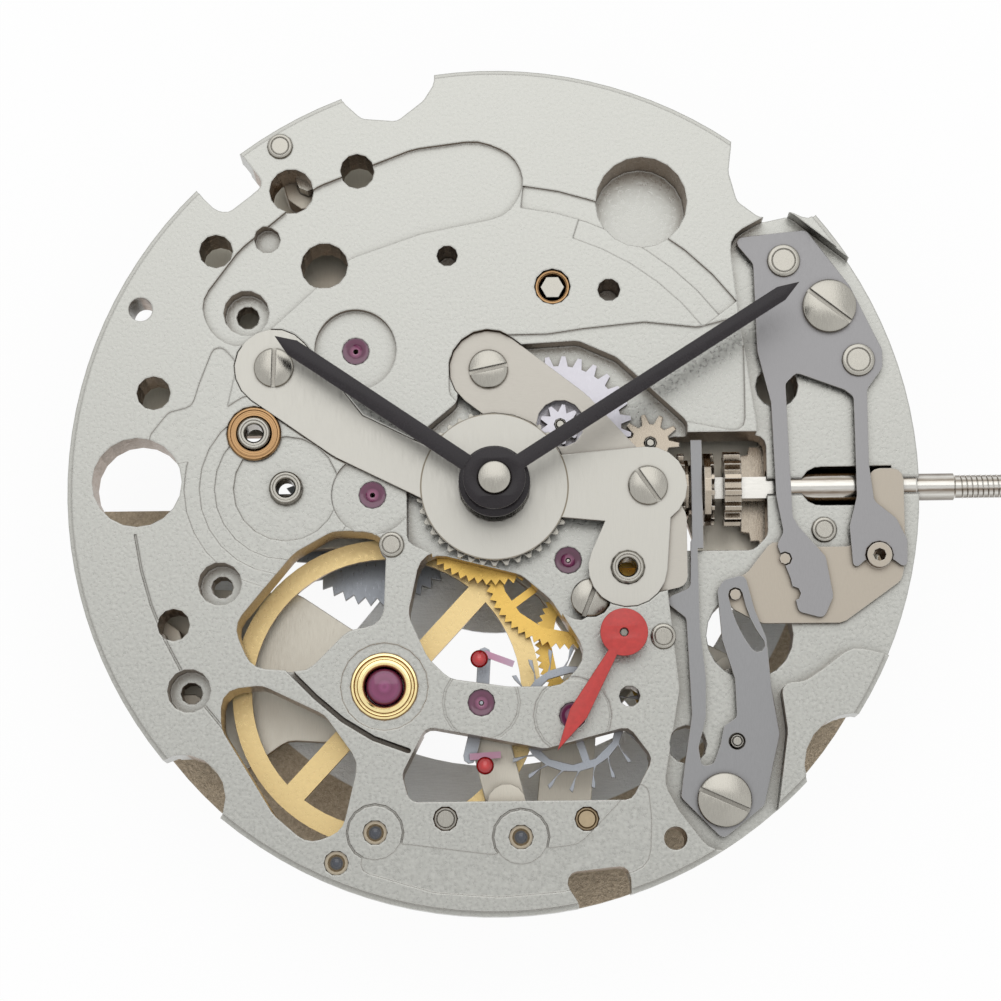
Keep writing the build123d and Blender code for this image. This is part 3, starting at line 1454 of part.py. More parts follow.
def yoke_slot():
    """The path of the lever's pin, seen from the yoke as both swing together."""
    room = lever_pin_radius + running_gap
    places = []
    for step in range(slot_steps + 1):
        swung = turned_about(lever_pin, lever_pivot, lever_swing * step / slot_steps)
        places.append(turned_about(swung, yoke_pivot, -yoke_swing * step / slot_steps))
    slot = dot(places[0], room)
    for before, after in zip(places, places[1:]):
        slot += link(before, room, after, room)
    return slot


def crown_wheel():
    """The wheel that takes the drive from the winding pinion at a right angle."""
    top = -stem_depth - winding_pinion_radius + fit_gap + crown_bite
    face = toothed_face(crown_teeth, crown_radius - crown_tooth_height, crown_radius, pointed_tip_share, 1)
    wheel = Pos(crown_place[0], crown_place[1], 0) * slab(face, top - crown_thickness, top)
    wheel += hidden_column(crown_place, crown_arbor_radius, winding_level, top - crown_thickness)
    wheel += gear(crown_place, transfer_teeth, transfer_module, winding_level,
                  winding_level + winding_thickness, 0, 0, pointed_tip_share)
    return wheel


def intermediate_wheel():
    return gear(intermediate_place, intermediate_teeth, ratchet_module, winding_level,
                winding_level + winding_thickness, crown_arbor_radius + fit_gap, intermediate_turn,
                pointed_tip_share)


def ratchet_wheel():
    return gear(barrel_place, ratchet_teeth, ratchet_module, winding_level, winding_level + winding_thickness,
                barrel_pivot_radius, ratchet_turn, pointed_tip_share)


def click_place():
    return polar(barrel_place, ratchet_pitch_radius + click_gap, click_angle)


def click():
    """The pawl beside the ratchet wheel, its nose just clear of the teeth."""
    pivot = click_place()
    tip_radius = ratchet_pitch_radius + ratchet_module
    nose = polar(barrel_place, tip_radius + click_nose_radius + running_gap, click_angle - click_spread)
    face = link(pivot, click_width, nose, click_nose_radius) - dot(pivot, minute_post_radius + fit_gap)
    return slab(face, winding_level, winding_level + winding_thickness)


def winding_posts():
    """The studs of the barrel bridge that the intermediate wheel and the click turn on."""
    posts = hidden_column(intermediate_place, crown_arbor_radius, winding_level, bridge_front)
    return posts + hidden_column(click_place(), minute_post_radius, winding_level, bridge_front)


def reducer_wheel():
    """The reduction wheel of the automatic work, with the pinion that turns the ratchet wheel."""
    wheel = gear(reducer_place, reducer_teeth, reducer_module, reducer_level,
                 reducer_level + winding_thickness, 0, 0, pointed_tip_share)
    wheel += gear(reducer_place, reducer_pinion_teeth, ratchet_module, winding_level,
                  winding_level + winding_thickness, 0, reducer_pinion_turn, pointed_tip_share)
    wheel += hidden_column(reducer_place, arbor_radius, reducer_level + winding_thickness, winding_level)
    wheel += hidden_column(reducer_place, arbor_radius, winding_level + winding_thickness,
                    motion_floor - 2 * jewel_thickness)
    return wheel + hidden_column(reducer_place, pivot_radius, winding_level, motion_floor)


def reverser_pinion():
    body = gear(reverser_place, reverser_pinion_teeth, reducer_module, reducer_level,
                reducer_level + winding_thickness, 0, reverser_pinion_turn, fine_tip_share)
    body += hidden_column(reverser_place, arbor_radius, reverser_level, motion_floor - 2 * jewel_thickness)
    return body + hidden_column(reverser_place, pivot_radius, reducer_level, motion_floor)


def reverser_wheel():
    return gear(reverser_place, reverser_teeth, rotor_module, reverser_level,
                reverser_level + winding_thickness, arbor_radius + fit_gap, reverser_turn, pointed_tip_share)


def rotor_pinion():
    return gear(centre, rotor_pinion_teeth, rotor_module, rotor_web_level + rotor_web_thickness,
                reverser_level + winding_thickness, bearing_core_radius / 2 + running_gap,
                0, fine_tip_share)


def rotor_web():
    """The thin plate of the rotor: a round hub, two arms and the band over the weight."""
    band = disc(centre, rotor_radius) - disc(centre, rotor_inner_radius)
    lower_half = Pos(0, -rotor_radius) * Rectangle(2 * rotor_radius + cut_overrun, 2 * rotor_radius)
    face = band & lower_half
    face += disc(centre, rotor_hub_radius)
    for angle in rotor_arm_angles:
        face += link(polar(centre, rotor_hub_radius / 2, angle), rotor_arm_width,
                     polar(centre, rotor_inner_radius + rotor_arm_width, angle), rotor_arm_width)
    face -= dot(centre, bearing_ring_radius)
    return slab(face, rotor_web_level, rotor_web_level + rotor_web_thickness)


def rotor_weight():
    ring = disc(centre, rotor_radius) - disc(centre, rotor_inner_radius)
    lower_half = Pos(0, -rotor_radius) * Rectangle(2 * rotor_radius + cut_overrun, 2 * rotor_radius)
    return slab(ring & lower_half, rotor_back, rotor_web_level)


def rotor_bearing_ring():
    return tube(centre, bearing_ring_radius, bearing_core_radius + running_gap, rotor_web_level,
                rotor_web_level + rotor_web_thickness)


def rotor_post():
    """The fixed core of the rotor's bearing, screwed to the train bridge."""
    core = tube(centre, bearing_core_radius, arbor_radius + running_gap, rotor_web_level,
                rotor_web_level + rotor_web_thickness)
    return core + tube(centre, bearing_core_radius / 2, arbor_radius + running_gap,
                       rotor_web_level + rotor_web_thickness, bridge_back)


def rotor_screw():
    low = rotor_web_level - screw_head_height
    head = column(centre, bearing_core_radius, low, rotor_web_level)
    head -= slab(Rectangle(2 * bearing_core_radius + cut_overrun, screw_slot_width), low - cut_overrun,
                 low + screw_slot_depth)
    return head + column(centre, arbor_radius, rotor_web_level, bridge_back - axial_gap)


def back_screw(place):
    """A screw seen from the back: its head lies in the bridge, slot outwards."""
    head = hidden_column(place, back_screw_radius, bridge_back, bridge_back + back_screw_height)
    slot = Pos(place[0], place[1]) * Rectangle(2 * back_screw_radius + cut_overrun, screw_slot_width)
    head -= slab(slot, bridge_back - cut_overrun, bridge_back + screw_slot_depth)
    return head + hidden_column(place, back_screw_radius / 2, bridge_back + back_screw_height, plate_back + stud_length)


def foot_places(shares):
    return [point(share) for share in shares]


def bridge_body(face, feet, bores):
    """A bridge plate on feet that reach the main plate, bored for its screws and arbors."""
    body = slab(face, bridge_back, bridge_front)
    for foot in feet:
        body += hidden_column(foot, foot_radius, bridge_front, plate_back)
    cuts = []
    for foot in feet:
        cuts.append(hidden_column(foot, back_screw_radius, bridge_back - cut_overrun, bridge_back + back_screw_height))
        cuts.append(hidden_column(foot, back_screw_radius / 2, bridge_back, plate_back + cut_overrun))
    for place, radius in bores:
        cuts.append(column(place, radius, bridge_back - cut_overrun, bridge_front + cut_overrun))
    return body - cuts


def barrel_bridge():
    corners = [point(share) for share in bridge_split_shares]
    face = disc(centre, bridge_radius) & make_face(Polyline(*corners, close=True))
    for shares in outline_notches[:3]:
        face -= share_outline(shares, corner_radius)
    bores = [
        (barrel_place, barrel_pivot_radius + fit_gap),
        (crown_place, crown_arbor_radius + fit_gap),
        (reducer_place, bridge_jewel_radius),
    ]
    return bridge_body(face, foot_places(barrel_foot_shares), bores)


def train_bridge():
    """The bridge of the going train, branching from the rotor's post to its three feet."""
    left_foot, lower_foot, right_foot = foot_places(train_foot_shares)
    face = link(left_foot, foot_radius + running_gap, reverser_place, boss_radius)
    face += link(reverser_place, boss_radius, centre, bearing_ring_radius)
    face += link(centre, bearing_ring_radius, third_place, boss_radius)
    face += link(third_place, boss_radius, fourth_place, boss_radius)
    face += link(fourth_place, boss_radius, right_foot, foot_radius + running_gap)
    face += link(fourth_place, boss_radius, escape_place, foot_radius)
    face += link(escape_place, foot_radius, lower_foot, foot_radius + running_gap)
    bores = [(centre, arbor_radius + fit_gap)]
    for place in (third_place, fourth_place, escape_place, reverser_place):
        bores.append((place, bridge_jewel_radius))
    return bridge_body(face, foot_places(train_foot_shares), bores)


def balance_cock():
    face = share_outline(cock_shares, 2 * corner_radius) & disc(centre, bridge_radius)
    face += dot(balance_place, cock_boss_radius)
    return bridge_body(face, foot_places(cock_foot_shares), [(balance_place, shock_radius)])


def bridge_screws():
    feet = foot_places(barrel_foot_shares + train_foot_shares + cock_foot_shares)
    return group(*[back_screw(foot) for foot in feet])


def bridge_jewels():
    jewels = []
    for place in (third_place, fourth_place, escape_place):
        jewels.append(jewel(place, bridge_jewel_radius, bridge_back, bridge_back + jewel_thickness))
    for place in (reverser_place, reducer_place):
        jewels.append(tube(place, bridge_jewel_radius, arbor_radius + fit_gap, bridge_back,
                           bridge_back + jewel_thickness))
    jewels.append(jewel(pallet_place, bridge_jewel_radius, pallet_bridge_low, pallet_bridge_high))
    return group(*jewels)


def click_spring():
    """A bowed wire that presses the click towards the ratchet wheel."""
    pivot = click_place()
    start = polar(pivot, click_width + click_spring_width, click_spring_side)
    end = polar(start, click_length, click_spring_heading)
    face = link(start, click_spring_width, end, click_spring_width)
    face += dot(end, click_width / 2)
    return slab(face, winding_level, bridge_back)


def hairspring_stud():
    place = (balance_place[0] + hairspring_inner_radius + hairspring_turns * hairspring_pitch, balance_place[1])
    low = balance_level - axial_gap - hairspring_height
    return hidden_column(place, stud_radius / 2, low + hairspring_height / 2, bridge_front)


def pieces():
    """Every part of the movement by name, the fixed ones first."""
    upper_shock = (balance_place, escapement_roof, stud_rise / 2)
    lower_shock = (balance_place, bridge_back, bridge_front)
    return {
        "main_plate": main_plate(),
        "hour_wheel_cover": hour_wheel_cover(),
        "minute_wheel_bridge": minute_wheel_bridge(),
        "cover_screws": cover_screws(),
        "lever_screws": lever_screws(),
        "plate_studs": group(plate_studs(), lever_studs(), minute_wheel_post(), setting_wheel_post()),
        "guide_posts": guide_posts(),
        "brass_bushes": group(post_washer(), barrel_bush()),
        "dial_side_jewels": dial_side_jewels(),
        "shock_rings": group(shock_setting(*upper_shock), shock_setting(*lower_shock)),
        "shock_jewels": group(*shock_jewels()),
        "setting_lever_jumper": setting_lever_jumper(),
        "pallet_bridge": pallet_bridge(),
        "barrel_bridge": barrel_bridge() + winding_posts(),
        "train_bridge": train_bridge(),
        "balance_cock": balance_cock() + hairspring_stud(),
        "bridge_screws": group(bridge_screws(), rotor_screw()),
        "bridge_jewels": bridge_jewels(),
        "click_spring": click_spring(),
        "hairspring": hairspring(),
        "rotor_post": rotor_post(),
        "centre_wheel": centre_wheel(),
        "centre_pinion": centre_pinion(),
        "cannon_pinion": cannon_pinion(),
        "minute_hand": minute_hand(),
        "minute_wheel": minute_wheel(),
        "setting_wheel": setting_wheel(),
        "hour_wheel": hour_wheel(),
        "hour_hand": hour_hand(),
        "third_wheel": third_wheel(),
        "third_pinion": third_pinion(),
        "fourth_wheel": fourth_wheel(),
        "fourth_pinion": fourth_pinion(),
        "seconds_hand": seconds_hand(),
        "escape_wheel": escape_wheel(),
        "escape_pinion": escape_pinion(),
        "pallet_fork": group(pallet_fork(), pallet_arbor()),
        "pallet_stones": pallet_stones(),
        "balance_wheel": balance_wheel(),
        "balance_staff": group(balance_staff(), collet()),
        "roller": group(roller(), roller_jewel()),
        "barrel_drum": barrel_drum(),
        "barrel_cover": barrel_cover(),
        "mainspring": mainspring(),
        "barrel_arbor": barrel_arbor(),
        "winding_stem": winding_stem(),
        "winding_pinion": winding_pinion(),
        "clutch": clutch(),
        "setting_lever": group(setting_lever(), setting_lever_sleeve()),
        "yoke": yoke(),
        "crown_wheel": crown_wheel(),
        "intermediate_wheel": intermediate_wheel(),
        "ratchet_wheel": ratchet_wheel(),
        "click": click(),
        "reducer_wheel": reducer_wheel(),
        "reverser_wheel": reverser_wheel(),
        "reverser_pinion": reverser_pinion(),
        "rotor_web": rotor_web(),
        "rotor_weight": rotor_weight(),
        "rotor_bearing": group(rotor_bearing_ring(), rotor_pinion()),
    }


def main():
    os.makedirs("parts", exist_ok=True)
    for name, piece in pieces().items():
        export_step(piece, "parts/" + name + ".step")


main()
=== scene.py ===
from math import asin, cos, pi, radians, sin

import bmesh
import bpy
from mathutils import Matrix, Vector

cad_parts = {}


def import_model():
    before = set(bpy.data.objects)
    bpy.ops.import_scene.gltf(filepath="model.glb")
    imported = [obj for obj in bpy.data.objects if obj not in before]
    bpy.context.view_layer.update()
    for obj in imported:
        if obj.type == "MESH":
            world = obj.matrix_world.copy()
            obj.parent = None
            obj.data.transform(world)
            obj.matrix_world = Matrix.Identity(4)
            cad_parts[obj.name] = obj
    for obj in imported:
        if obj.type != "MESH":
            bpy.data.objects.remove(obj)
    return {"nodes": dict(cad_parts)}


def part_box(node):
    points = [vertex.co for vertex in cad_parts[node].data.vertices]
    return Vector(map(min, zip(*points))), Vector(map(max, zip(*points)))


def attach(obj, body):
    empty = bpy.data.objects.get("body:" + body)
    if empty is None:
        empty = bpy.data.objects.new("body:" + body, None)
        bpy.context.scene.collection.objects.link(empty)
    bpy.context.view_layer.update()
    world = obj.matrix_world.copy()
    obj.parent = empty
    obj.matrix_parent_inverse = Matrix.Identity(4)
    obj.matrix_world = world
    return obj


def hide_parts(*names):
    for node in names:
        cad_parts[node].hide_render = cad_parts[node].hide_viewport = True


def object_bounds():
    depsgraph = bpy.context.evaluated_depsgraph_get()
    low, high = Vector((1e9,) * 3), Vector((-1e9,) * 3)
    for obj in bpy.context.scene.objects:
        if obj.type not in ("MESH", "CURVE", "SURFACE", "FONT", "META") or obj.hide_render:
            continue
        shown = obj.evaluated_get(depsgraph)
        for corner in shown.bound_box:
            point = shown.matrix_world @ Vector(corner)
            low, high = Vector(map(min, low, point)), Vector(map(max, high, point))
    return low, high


# An automatic watch movement, dial side up, on a pale floor.
# Metres, in the frame of the CAD: the dial face is z = 0 and +X runs along the stem.

MM = 0.001
PHOTO_PIXELS = 1001
SENSOR_WIDTH = 36.0

# Camera: tilted towards six o'clock, aimed a little beside the hands' axis
CAMERA_TILT = radians(8.0)
CAMERA_DISTANCE = 112.0 * MM
CAMERA_FOCAL_PIXELS = 3685.0
CAMERA_AIM = Vector((0.18, -0.44, 0.0)) * MM
CAMERA_NEAR = 5.0 * MM
CAMERA_FAR = 10.0

# Stage and light
FLOOR_SIZE = 600.0 * MM
FLOOR_GAP = 0.02 * MM
FLOOR_WHITE = 0.94
WORLD_LIGHT = 0.80
LIGHT_DISTANCE = 160.0 * MM
LIGHT_SIZE = 110.0 * MM
KEY_DIRECTION = (0.0, 0.5, 1.0)
KEY_POWER = 0.039
FILL_DIRECTION = (0.6, -0.3, 1.0)
FILL_POWER = 0.006

# Stem and its thread; the profile gives radii and places along the stem in millimetres
STEM_SQUARE_END = 8.6
STEM_PROFILE = (
    (0, 8.6), (0.545, 8.6), (0.545, 11.40), (0.515, 11.43), (0.34, 11.43), (0.34, 12.07), (0.515, 12.07),
    (0.545, 12.10), (0.545, 12.90), (0.50, 12.95), (0.415, 12.95), (0.415, 14.09), (0.35, 14.15),
    (0.35, 22.45), (0.30, 22.50), (0, 22.50),
)
THREAD_CORE = 0.35 * MM
THREAD_LENGTH = 8.2 * MM
THREAD_END_GAP = 0.1 * MM
THREAD_SUNK = 0.02 * MM
THREAD_PITCH = 0.16 * MM
THREAD_DEPTH = 0.05 * MM
THREAD_STEPS = 20

# Materials: the middle of a noise, and how strongly sharp edges take their painted highlight
NOISE_LOW = 0.3
NOISE_HIGH = 0.7
EDGE_HIGHLIGHT_STRENGTH = 0.65

# Rounds, screw slots and small pieces
ROUND_STEPS = 48
SHARP_ANGLE = radians(38.0)
SLOT_WIDTH = 0.14 * MM
SLOT_DEPTH = 0.12 * MM
HAND_BEVEL = 0.035 * MM
BACK_LEVEL = -2.0 * MM
WELD = 1e-7
CANNON_RADIUS = 0.495 * MM
CANNON_EDGE = 0.07 * MM
STONE_END_RADIUS = 0.27 * MM

# Hands in millimetres: hub radius, half width at the hub, widest half width, length, length of the tip
MINUTE_HAND = (0.94, 0.23, 0.23, 10.95, 0.65)
HOUR_HAND = (1.08, 0.26, 0.26, 8.0, 0.65)
SECONDS_HAND = (0.72, 0.15, 0.29, 4.10, 1.30)
JEWEL_PROUD = 0.015 * MM
SHANK_SHORTER = 0.08 * MM

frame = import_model()
cad_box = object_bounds()
nodes = frame["nodes"]


def srgb(red, green, blue):
    """A colour as it is seen on screen, 0 to 255, in the renderer's linear values."""
    values = []
    for part in (red, green, blue):
        share = part / 255
        values.append(share / 12.92 if share <= 0.04045 else ((share + 0.055) / 1.055) ** 2.4)
    return (*values, 1.0)


def new_material(name):
    material = bpy.data.materials.new(name)
    material.use_nodes = True
    tree = material.node_tree
    shader = tree.nodes["Principled BSDF"]
    return material, tree, shader


def in_millimetres(tree, stretch=(1.0, 1.0, 1.0), turn=0.0):
    """The piece's own coordinates in millimetres, turned and stretched."""
    place = tree.nodes.new("ShaderNodeTexCoord")
    mapping = tree.nodes.new("ShaderNodeMapping")
    mapping.inputs["Rotation"].default_value = (0.0, 0.0, turn)
    mapping.inputs["Scale"].default_value = [value / MM for value in stretch]
    tree.links.new(place.outputs["Object"], mapping.inputs["Vector"])
    return mapping.outputs["Vector"]


def noise(tree, vector, scale, detail=3.0, rough=0.6):
    texture = tree.nodes.new("ShaderNodeTexNoise")
    texture.inputs["Scale"].default_value = scale
    texture.inputs["Detail"].default_value = detail
    texture.inputs["Roughness"].default_value = rough
    tree.links.new(vector, texture.inputs["Vector"])
    return texture.outputs["Fac"]


def ranged(tree, value, low, high):
    """Maps the middle of a noise to a range."""
    spread = tree.nodes.new("ShaderNodeMapRange")
    spread.inputs["From Min"].default_value = NOISE_LOW
    spread.inputs["From Max"].default_value = NOISE_HIGH
    spread.inputs["To Min"].default_value = low
    spread.inputs["To Max"].default_value = high
    tree.links.new(value, spread.inputs["Value"])
    return spread.outputs["Result"]


def shaded_colour(tree, value, colour, low, high):
    """The colour times a factor that the value carries from low to high."""
    ramp = tree.nodes.new("ShaderNodeValToRGB")
    ramp.color_ramp.elements[0].position = NOISE_LOW
    ramp.color_ramp.elements[1].position = NOISE_HIGH
    ramp.color_ramp.elements[0].color = (*[part * low for part in colour[:3]], 1.0)
    ramp.color_ramp.elements[1].color = (*[min(part * high, 1.0) for part in colour[:3]], 1.0)
    tree.links.new(value, ramp.inputs["Fac"])
    return ramp.outputs["Color"]


def bump(tree, shader, height, strength, distance):
    node = tree.nodes.new("ShaderNodeBump")
    node.inputs["Strength"].default_value = strength
    node.inputs["Distance"].default_value = distance
    tree.links.new(height, node.inputs["Height"])
    tree.links.new(node.outputs["Normal"], shader.inputs["Normal"])
    return node


def multiplied(tree, first, second):
    """Two colours times each other."""
    mix = tree.nodes.new("ShaderNodeMix")
    mix.data_type = "RGBA"
    mix.blend_type = "MULTIPLY"
    mix.inputs["Factor"].default_value = 1.0
    tree.links.new(first, mix.inputs[6])
    tree.links.new(second, mix.inputs[7])
    return mix.outputs[2]


def mixed(tree, share, first, second):
    """The first colour where the share is 0, the second where it is 1."""
    mix = tree.nodes.new("ShaderNodeMix")
    mix.data_type = "RGBA"
    tree.links.new(share, mix.inputs["Factor"])
    for socket, colour in ((6, first), (7, second)):
        if isinstance(colour, tuple):
            mix.inputs[socket].default_value = colour
        else:
            tree.links.new(colour, mix.inputs[socket])
    return mix.outputs[2]


def calculated(tree, operation, first, second=0.0):
    node = tree.nodes.new("ShaderNodeMath")
    node.operation = operation
    for socket, value in ((0, first), (1, second)):
        if isinstance(value, (int, float)):
            node.inputs[socket].default_value = value
        else:
            tree.links.new(value, node.inputs[socket])
    return node.outputs[0]


def stepped(tree, value, low, high):
    """0 below low, 1 above high, and smooth between."""
    spread = tree.nodes.new("ShaderNodeMapRange")
    spread.interpolation_type = "SMOOTHSTEP"
    spread.inputs["From Min"].default_value = low
    spread.inputs["From Max"].default_value = high
    tree.links.new(value, spread.inputs["Value"])
    return spread.outputs["Result"]


def shaded_wall_share(tree):
    """1 on surfaces that stand upright, 0 on those that face up or down; it places the painted wall shade."""
    place = tree.nodes.new("ShaderNodeTexCoord")
    parts = tree.nodes.new("ShaderNodeSeparateXYZ")
    tree.links.new(place.outputs["Normal"], parts.inputs["Vector"])
    upright = calculated(tree, "ABSOLUTE", parts.outputs["Z"])
    return calculated(tree, "SUBTRACT", 1.0, stepped(tree, upright, 0.35, 0.75))


def distance_to(tree, centre):
    """Millimetres in plan from a centre that is given in millimetres."""
    node = tree.nodes.new("ShaderNodeVectorMath")
    node.operation = "DISTANCE"
    tree.links.new(in_millimetres(tree, (1.0, 1.0, 0.0)), node.inputs[0])
    node.inputs[1].default_value = (centre[0], centre[1], 0.0)
    return node.outputs["Value"]


def nearest_distance(tree, centres):
    nearest = distance_to(tree, centres[0])
    for centre in centres[1:]:
        nearest = calculated(tree, "MINIMUM", nearest, distance_to(tree, centre))
    return nearest


def rings(tree, distance, pitch):
    """A height that rises and falls once in each pitch of distance."""
    return calculated(tree, "SINE", calculated(tree, "MULTIPLY", distance, 2 * pi / pitch))


def edge_highlight_share(tree, width):
    """1 along sharp edges, where the painted highlight goes, and the normal that is rounded there."""
    rounded = tree.nodes.new("ShaderNodeBevel")
    rounded.samples = 6
    rounded.inputs["Radius"].default_value = width * MM
    surface = tree.nodes.new("ShaderNodeNewGeometry")
    product = tree.nodes.new("ShaderNodeVectorMath")
    product.operation = "DOT_PRODUCT"
    tree.links.new(rounded.outputs["Normal"], product.inputs[0])
    tree.links.new(surface.outputs["Normal"], product.inputs[1])
    turned_away = calculated(tree, "SUBTRACT", 1.0, product.outputs["Value"])
    return stepped(tree, turned_away, 0.01, 0.12), rounded.outputs["Normal"]


def gap_shade(tree, dark, reach):
    """White in the open, and the dark colour in gaps, slots and corners."""
    around = tree.nodes.new("ShaderNodeAmbientOcclusion")
    around.samples = 6
    around.inputs["Distance"].default_value = reach * MM
    ramp = tree.nodes.new("ShaderNodeValToRGB")
    ramp.color_ramp.elements[0].position = 0.05
    ramp.color_ramp.elements[1].position = 0.75
    ramp.color_ramp.elements[0].color = dark
    ramp.color_ramp.elements[1].color = (1.0, 1.0, 1.0, 1.0)
    tree.links.new(around.outputs["AO"], ramp.inputs["Fac"])
    return ramp.outputs["Color"]


def grained_metal(name, colour, rough, contrast=0.06, stretch=(1.0, 1.0, 1.0), turn=0.0, scale=9.0,
                  relief=0.25, wall_shade=None, shade=(90, 72, 54), reach=0.5, rim=None, turned=None,
                  edge=None, ring=None):
    """Metal with a grain, painted shade on its upright walls, a painted highlight on its sharp edges and
    painted shade in its gaps.
    """
    material, tree, shader = new_material(name)
    shader.inputs["Metallic"].default_value = 1.0
    vector = in_millimetres(tree, stretch, turn)
    fine = noise(tree, vector, scale)
    surface = shaded_colour(tree, fine, colour, 1 - contrast, 1 + contrast)
    # Painted shade: upright walls take the darker wall colour in place of the metal's own.
    if wall_shade:
        share = shaded_wall_share(tree)
        # Past the rim radius, the plate's outer side is left without the painted wall shade.
        if rim:
            outside = stepped(tree, distance_to(tree, CENTRE), rim - 0.1, rim)
            share = calculated(tree, "MULTIPLY", share, calculated(tree, "SUBTRACT", 1.0, outside))
        streak = noise(tree, in_millimetres(tree, (2.0, 2.0, 14.0)), 3.0)
        surface = mixed(tree, share, surface, shaded_colour(tree, streak, wall_shade, 0.80, 1.12))
    if ring:
        radius, width, ring_colour = ring
        offset = calculated(tree, "SUBTRACT", distance_to(tree, CENTRE), radius)
        offset = calculated(tree, "ABSOLUTE", offset)
        line = calculated(tree, "SUBTRACT", 1.0, stepped(tree, offset, 0.3 * width, width))
        surface = mixed(tree, line, surface, ring_colour)
    # Painted highlight: sharp edges take a lighter colour.
    if edge:
        width, highlight_colour = edge
        edge_highlight, rounded_normal = edge_highlight_share(tree, width)
        surface = mixed(tree, calculated(tree, "MULTIPLY", edge_highlight, EDGE_HIGHLIGHT_STRENGTH), surface, highlight_colour)
    shaded = multiplied(tree, surface, gap_shade(tree, srgb(*shade), reach))
    tree.links.new(shaded, shader.inputs["Base Color"])
    tree.links.new(ranged(tree, fine, rough - 0.06, rough + 0.08), shader.inputs["Roughness"])
    height = fine
    if turned:
        centres, pitch = turned
        height = calculated(tree, "ADD", fine, rings(tree, nearest_distance(tree, centres), pitch))
    carved = bump(tree, shader, height, relief, 0.01 * MM)
    if edge:
        tree.links.new(rounded_normal, carved.inputs["Normal"])
    return material


def stop_ramp(tree, stops, widest):
    """A ramp through places from 0 to the widest and their colours."""
    ramp = tree.nodes.new("ShaderNodeValToRGB")
    marks = ramp.color_ramp.elements
    while len(marks) < len(stops):
        marks.new(0.5)
    for mark, (place, _) in zip(marks, stops):
        mark.position = place / widest
    for mark, (_, colour) in zip(marks, stops):
        mark.color = srgb(*colour)
    return ramp


def reflection_banded_metal(name, stops, rough):
    """Polished round steel with a painted reflection: bright and dark bands that follow the turn of its
    surface.
    """
    material, tree, shader = new_material(name)
    shader.inputs["Metallic"].default_value = 1.0
    place = tree.nodes.new("ShaderNodeTexCoord")
    parts = tree.nodes.new("ShaderNodeSeparateXYZ")
    tree.links.new(place.outputs["Normal"], parts.inputs["Vector"])
    scratches = noise(tree, in_millimetres(tree, (0.8, 6.0, 6.0)), 3.0)
    # Painted reflection: the bands follow which way the surface faces, wobbled a little by the scratches.
    wavy = calculated(tree, "ADD", calculated(tree, "MULTIPLY", parts.outputs["Y"], 0.5),
                      calculated(tree, "MULTIPLY", scratches, 0.08))
    ramp = stop_ramp(tree, stops, 1.0)
    tree.links.new(calculated(tree, "ADD", wavy, 0.5), ramp.inputs["Fac"])
    tree.links.new(multiplied(tree, ramp.outputs["Color"], gap_shade(tree, srgb(60, 50, 40), 0.3)),
                   shader.inputs["Base Color"])
    tree.links.new(ranged(tree, scratches, rough - 0.05, rough + 0.05), shader.inputs["Roughness"])
    return material


def jewel(name, centres, stops):
    """A polished jewel whose colour changes in rings round its hole."""
    material, tree, shader = new_material(name)
    distance = nearest_distance(tree, centres)
    cloud = noise(tree, in_millimetres(tree), 6.0)
    wavy = calculated(tree, "ADD", distance, calculated(tree, "MULTIPLY", cloud, 0.04))
    widest = stops[-1][0]
    ramp = stop_ramp(tree, stops, widest)
    tree.links.new(calculated(tree, "DIVIDE", wavy, widest), ramp.inputs["Fac"])
    tree.links.new(ramp.outputs["Color"], shader.inputs["Base Color"])
    tree.links.new(ranged(tree, cloud, 0.08, 0.16), shader.inputs["Roughness"])
    shader.inputs["Coat Weight"].default_value = 0.5
    shader.inputs["Coat Roughness"].default_value = 0.05
    return material


def lacquer(name, colour, rough, edge, gloss):
    """A lacquered surface whose upright walls take another tone of the same lacquer: painted light and shade.
    """
    material, tree, shader = new_material(name)
    shader.inputs["Specular IOR Level"].default_value = gloss
    vector = in_millimetres(tree)
    orange_peel = noise(tree, vector, 6.0)
    top = shaded_colour(tree, orange_peel, colour, 0.9, 1.12)
    tree.links.new(mixed(tree, shaded_wall_share(tree), top, edge), shader.inputs["Base Color"])
    tree.links.new(ranged(tree, orange_peel, rough - 0.04, rough + 0.06), shader.inputs["Roughness"])
    bump(tree, shader, orange_peel, 0.15, 0.004 * MM)
    return material


def grainy_metal(name, colour, light, rough, smooth=None):
    """Sintered heavy metal: coarse specks between dark and light, and smooth within a radius."""
    material, tree, shader = new_material(name)
    shader.inputs["Metallic"].default_value = 1.0
    coarse = noise(tree, in_millimetres(tree), 9.0, 4.0, 0.75)
    specks = noise(tree, in_millimetres(tree), 24.0, 2.0, 0.7)
    surface = shaded_colour(tree, coarse, colour, 0.72, 1.30)
    surface = mixed(tree, stepped(tree, specks, 0.60, 0.70), surface, light)
    if smooth:
        radius, inner_colour = smooth
        strokes = noise(tree, in_millimetres(tree, (0.5, 5.0, 1.0)), 5.0)
        brushed = shaded_colour(tree, strokes, inner_colour, 0.95, 1.05)
        surface = mixed(tree, stepped(tree, distance_to(tree, CENTRE), radius - 0.03, radius + 0.03),
                        brushed, surface)
    tree.links.new(surface, shader.inputs["Base Color"])
    tree.links.new(ranged(tree, specks, rough - 0.12, rough + 0.15), shader.inputs["Roughness"])
    bump(tree, shader, coarse, 0.8, 0.03 * MM)
    return material


# Centres of round pieces in plan, millimetres
CENTRE = (0.0, 0.0)
TRAIN_JEWELS = ((2.23, -2.17), (3.84, -4.59), (2.28, -7.00), (-0.47, -6.58), (-3.72, -0.18), (-4.20, 4.26))
BALANCE = (-3.39, -6.06)
BARREL = (1.85, 6.16)
WASHER = (-7.31, 1.72)
SUNK_PINS = ((-3.705, -10.452), (0.676, -10.634), (-4.875, -11.349))
TAN_PINS = ((2.665, -10.114),)
STONES = ((-0.59, -5.31), (-0.35, -8.56))
STONE_ENDS = ((-0.52, -5.25), (-0.38, -8.48))
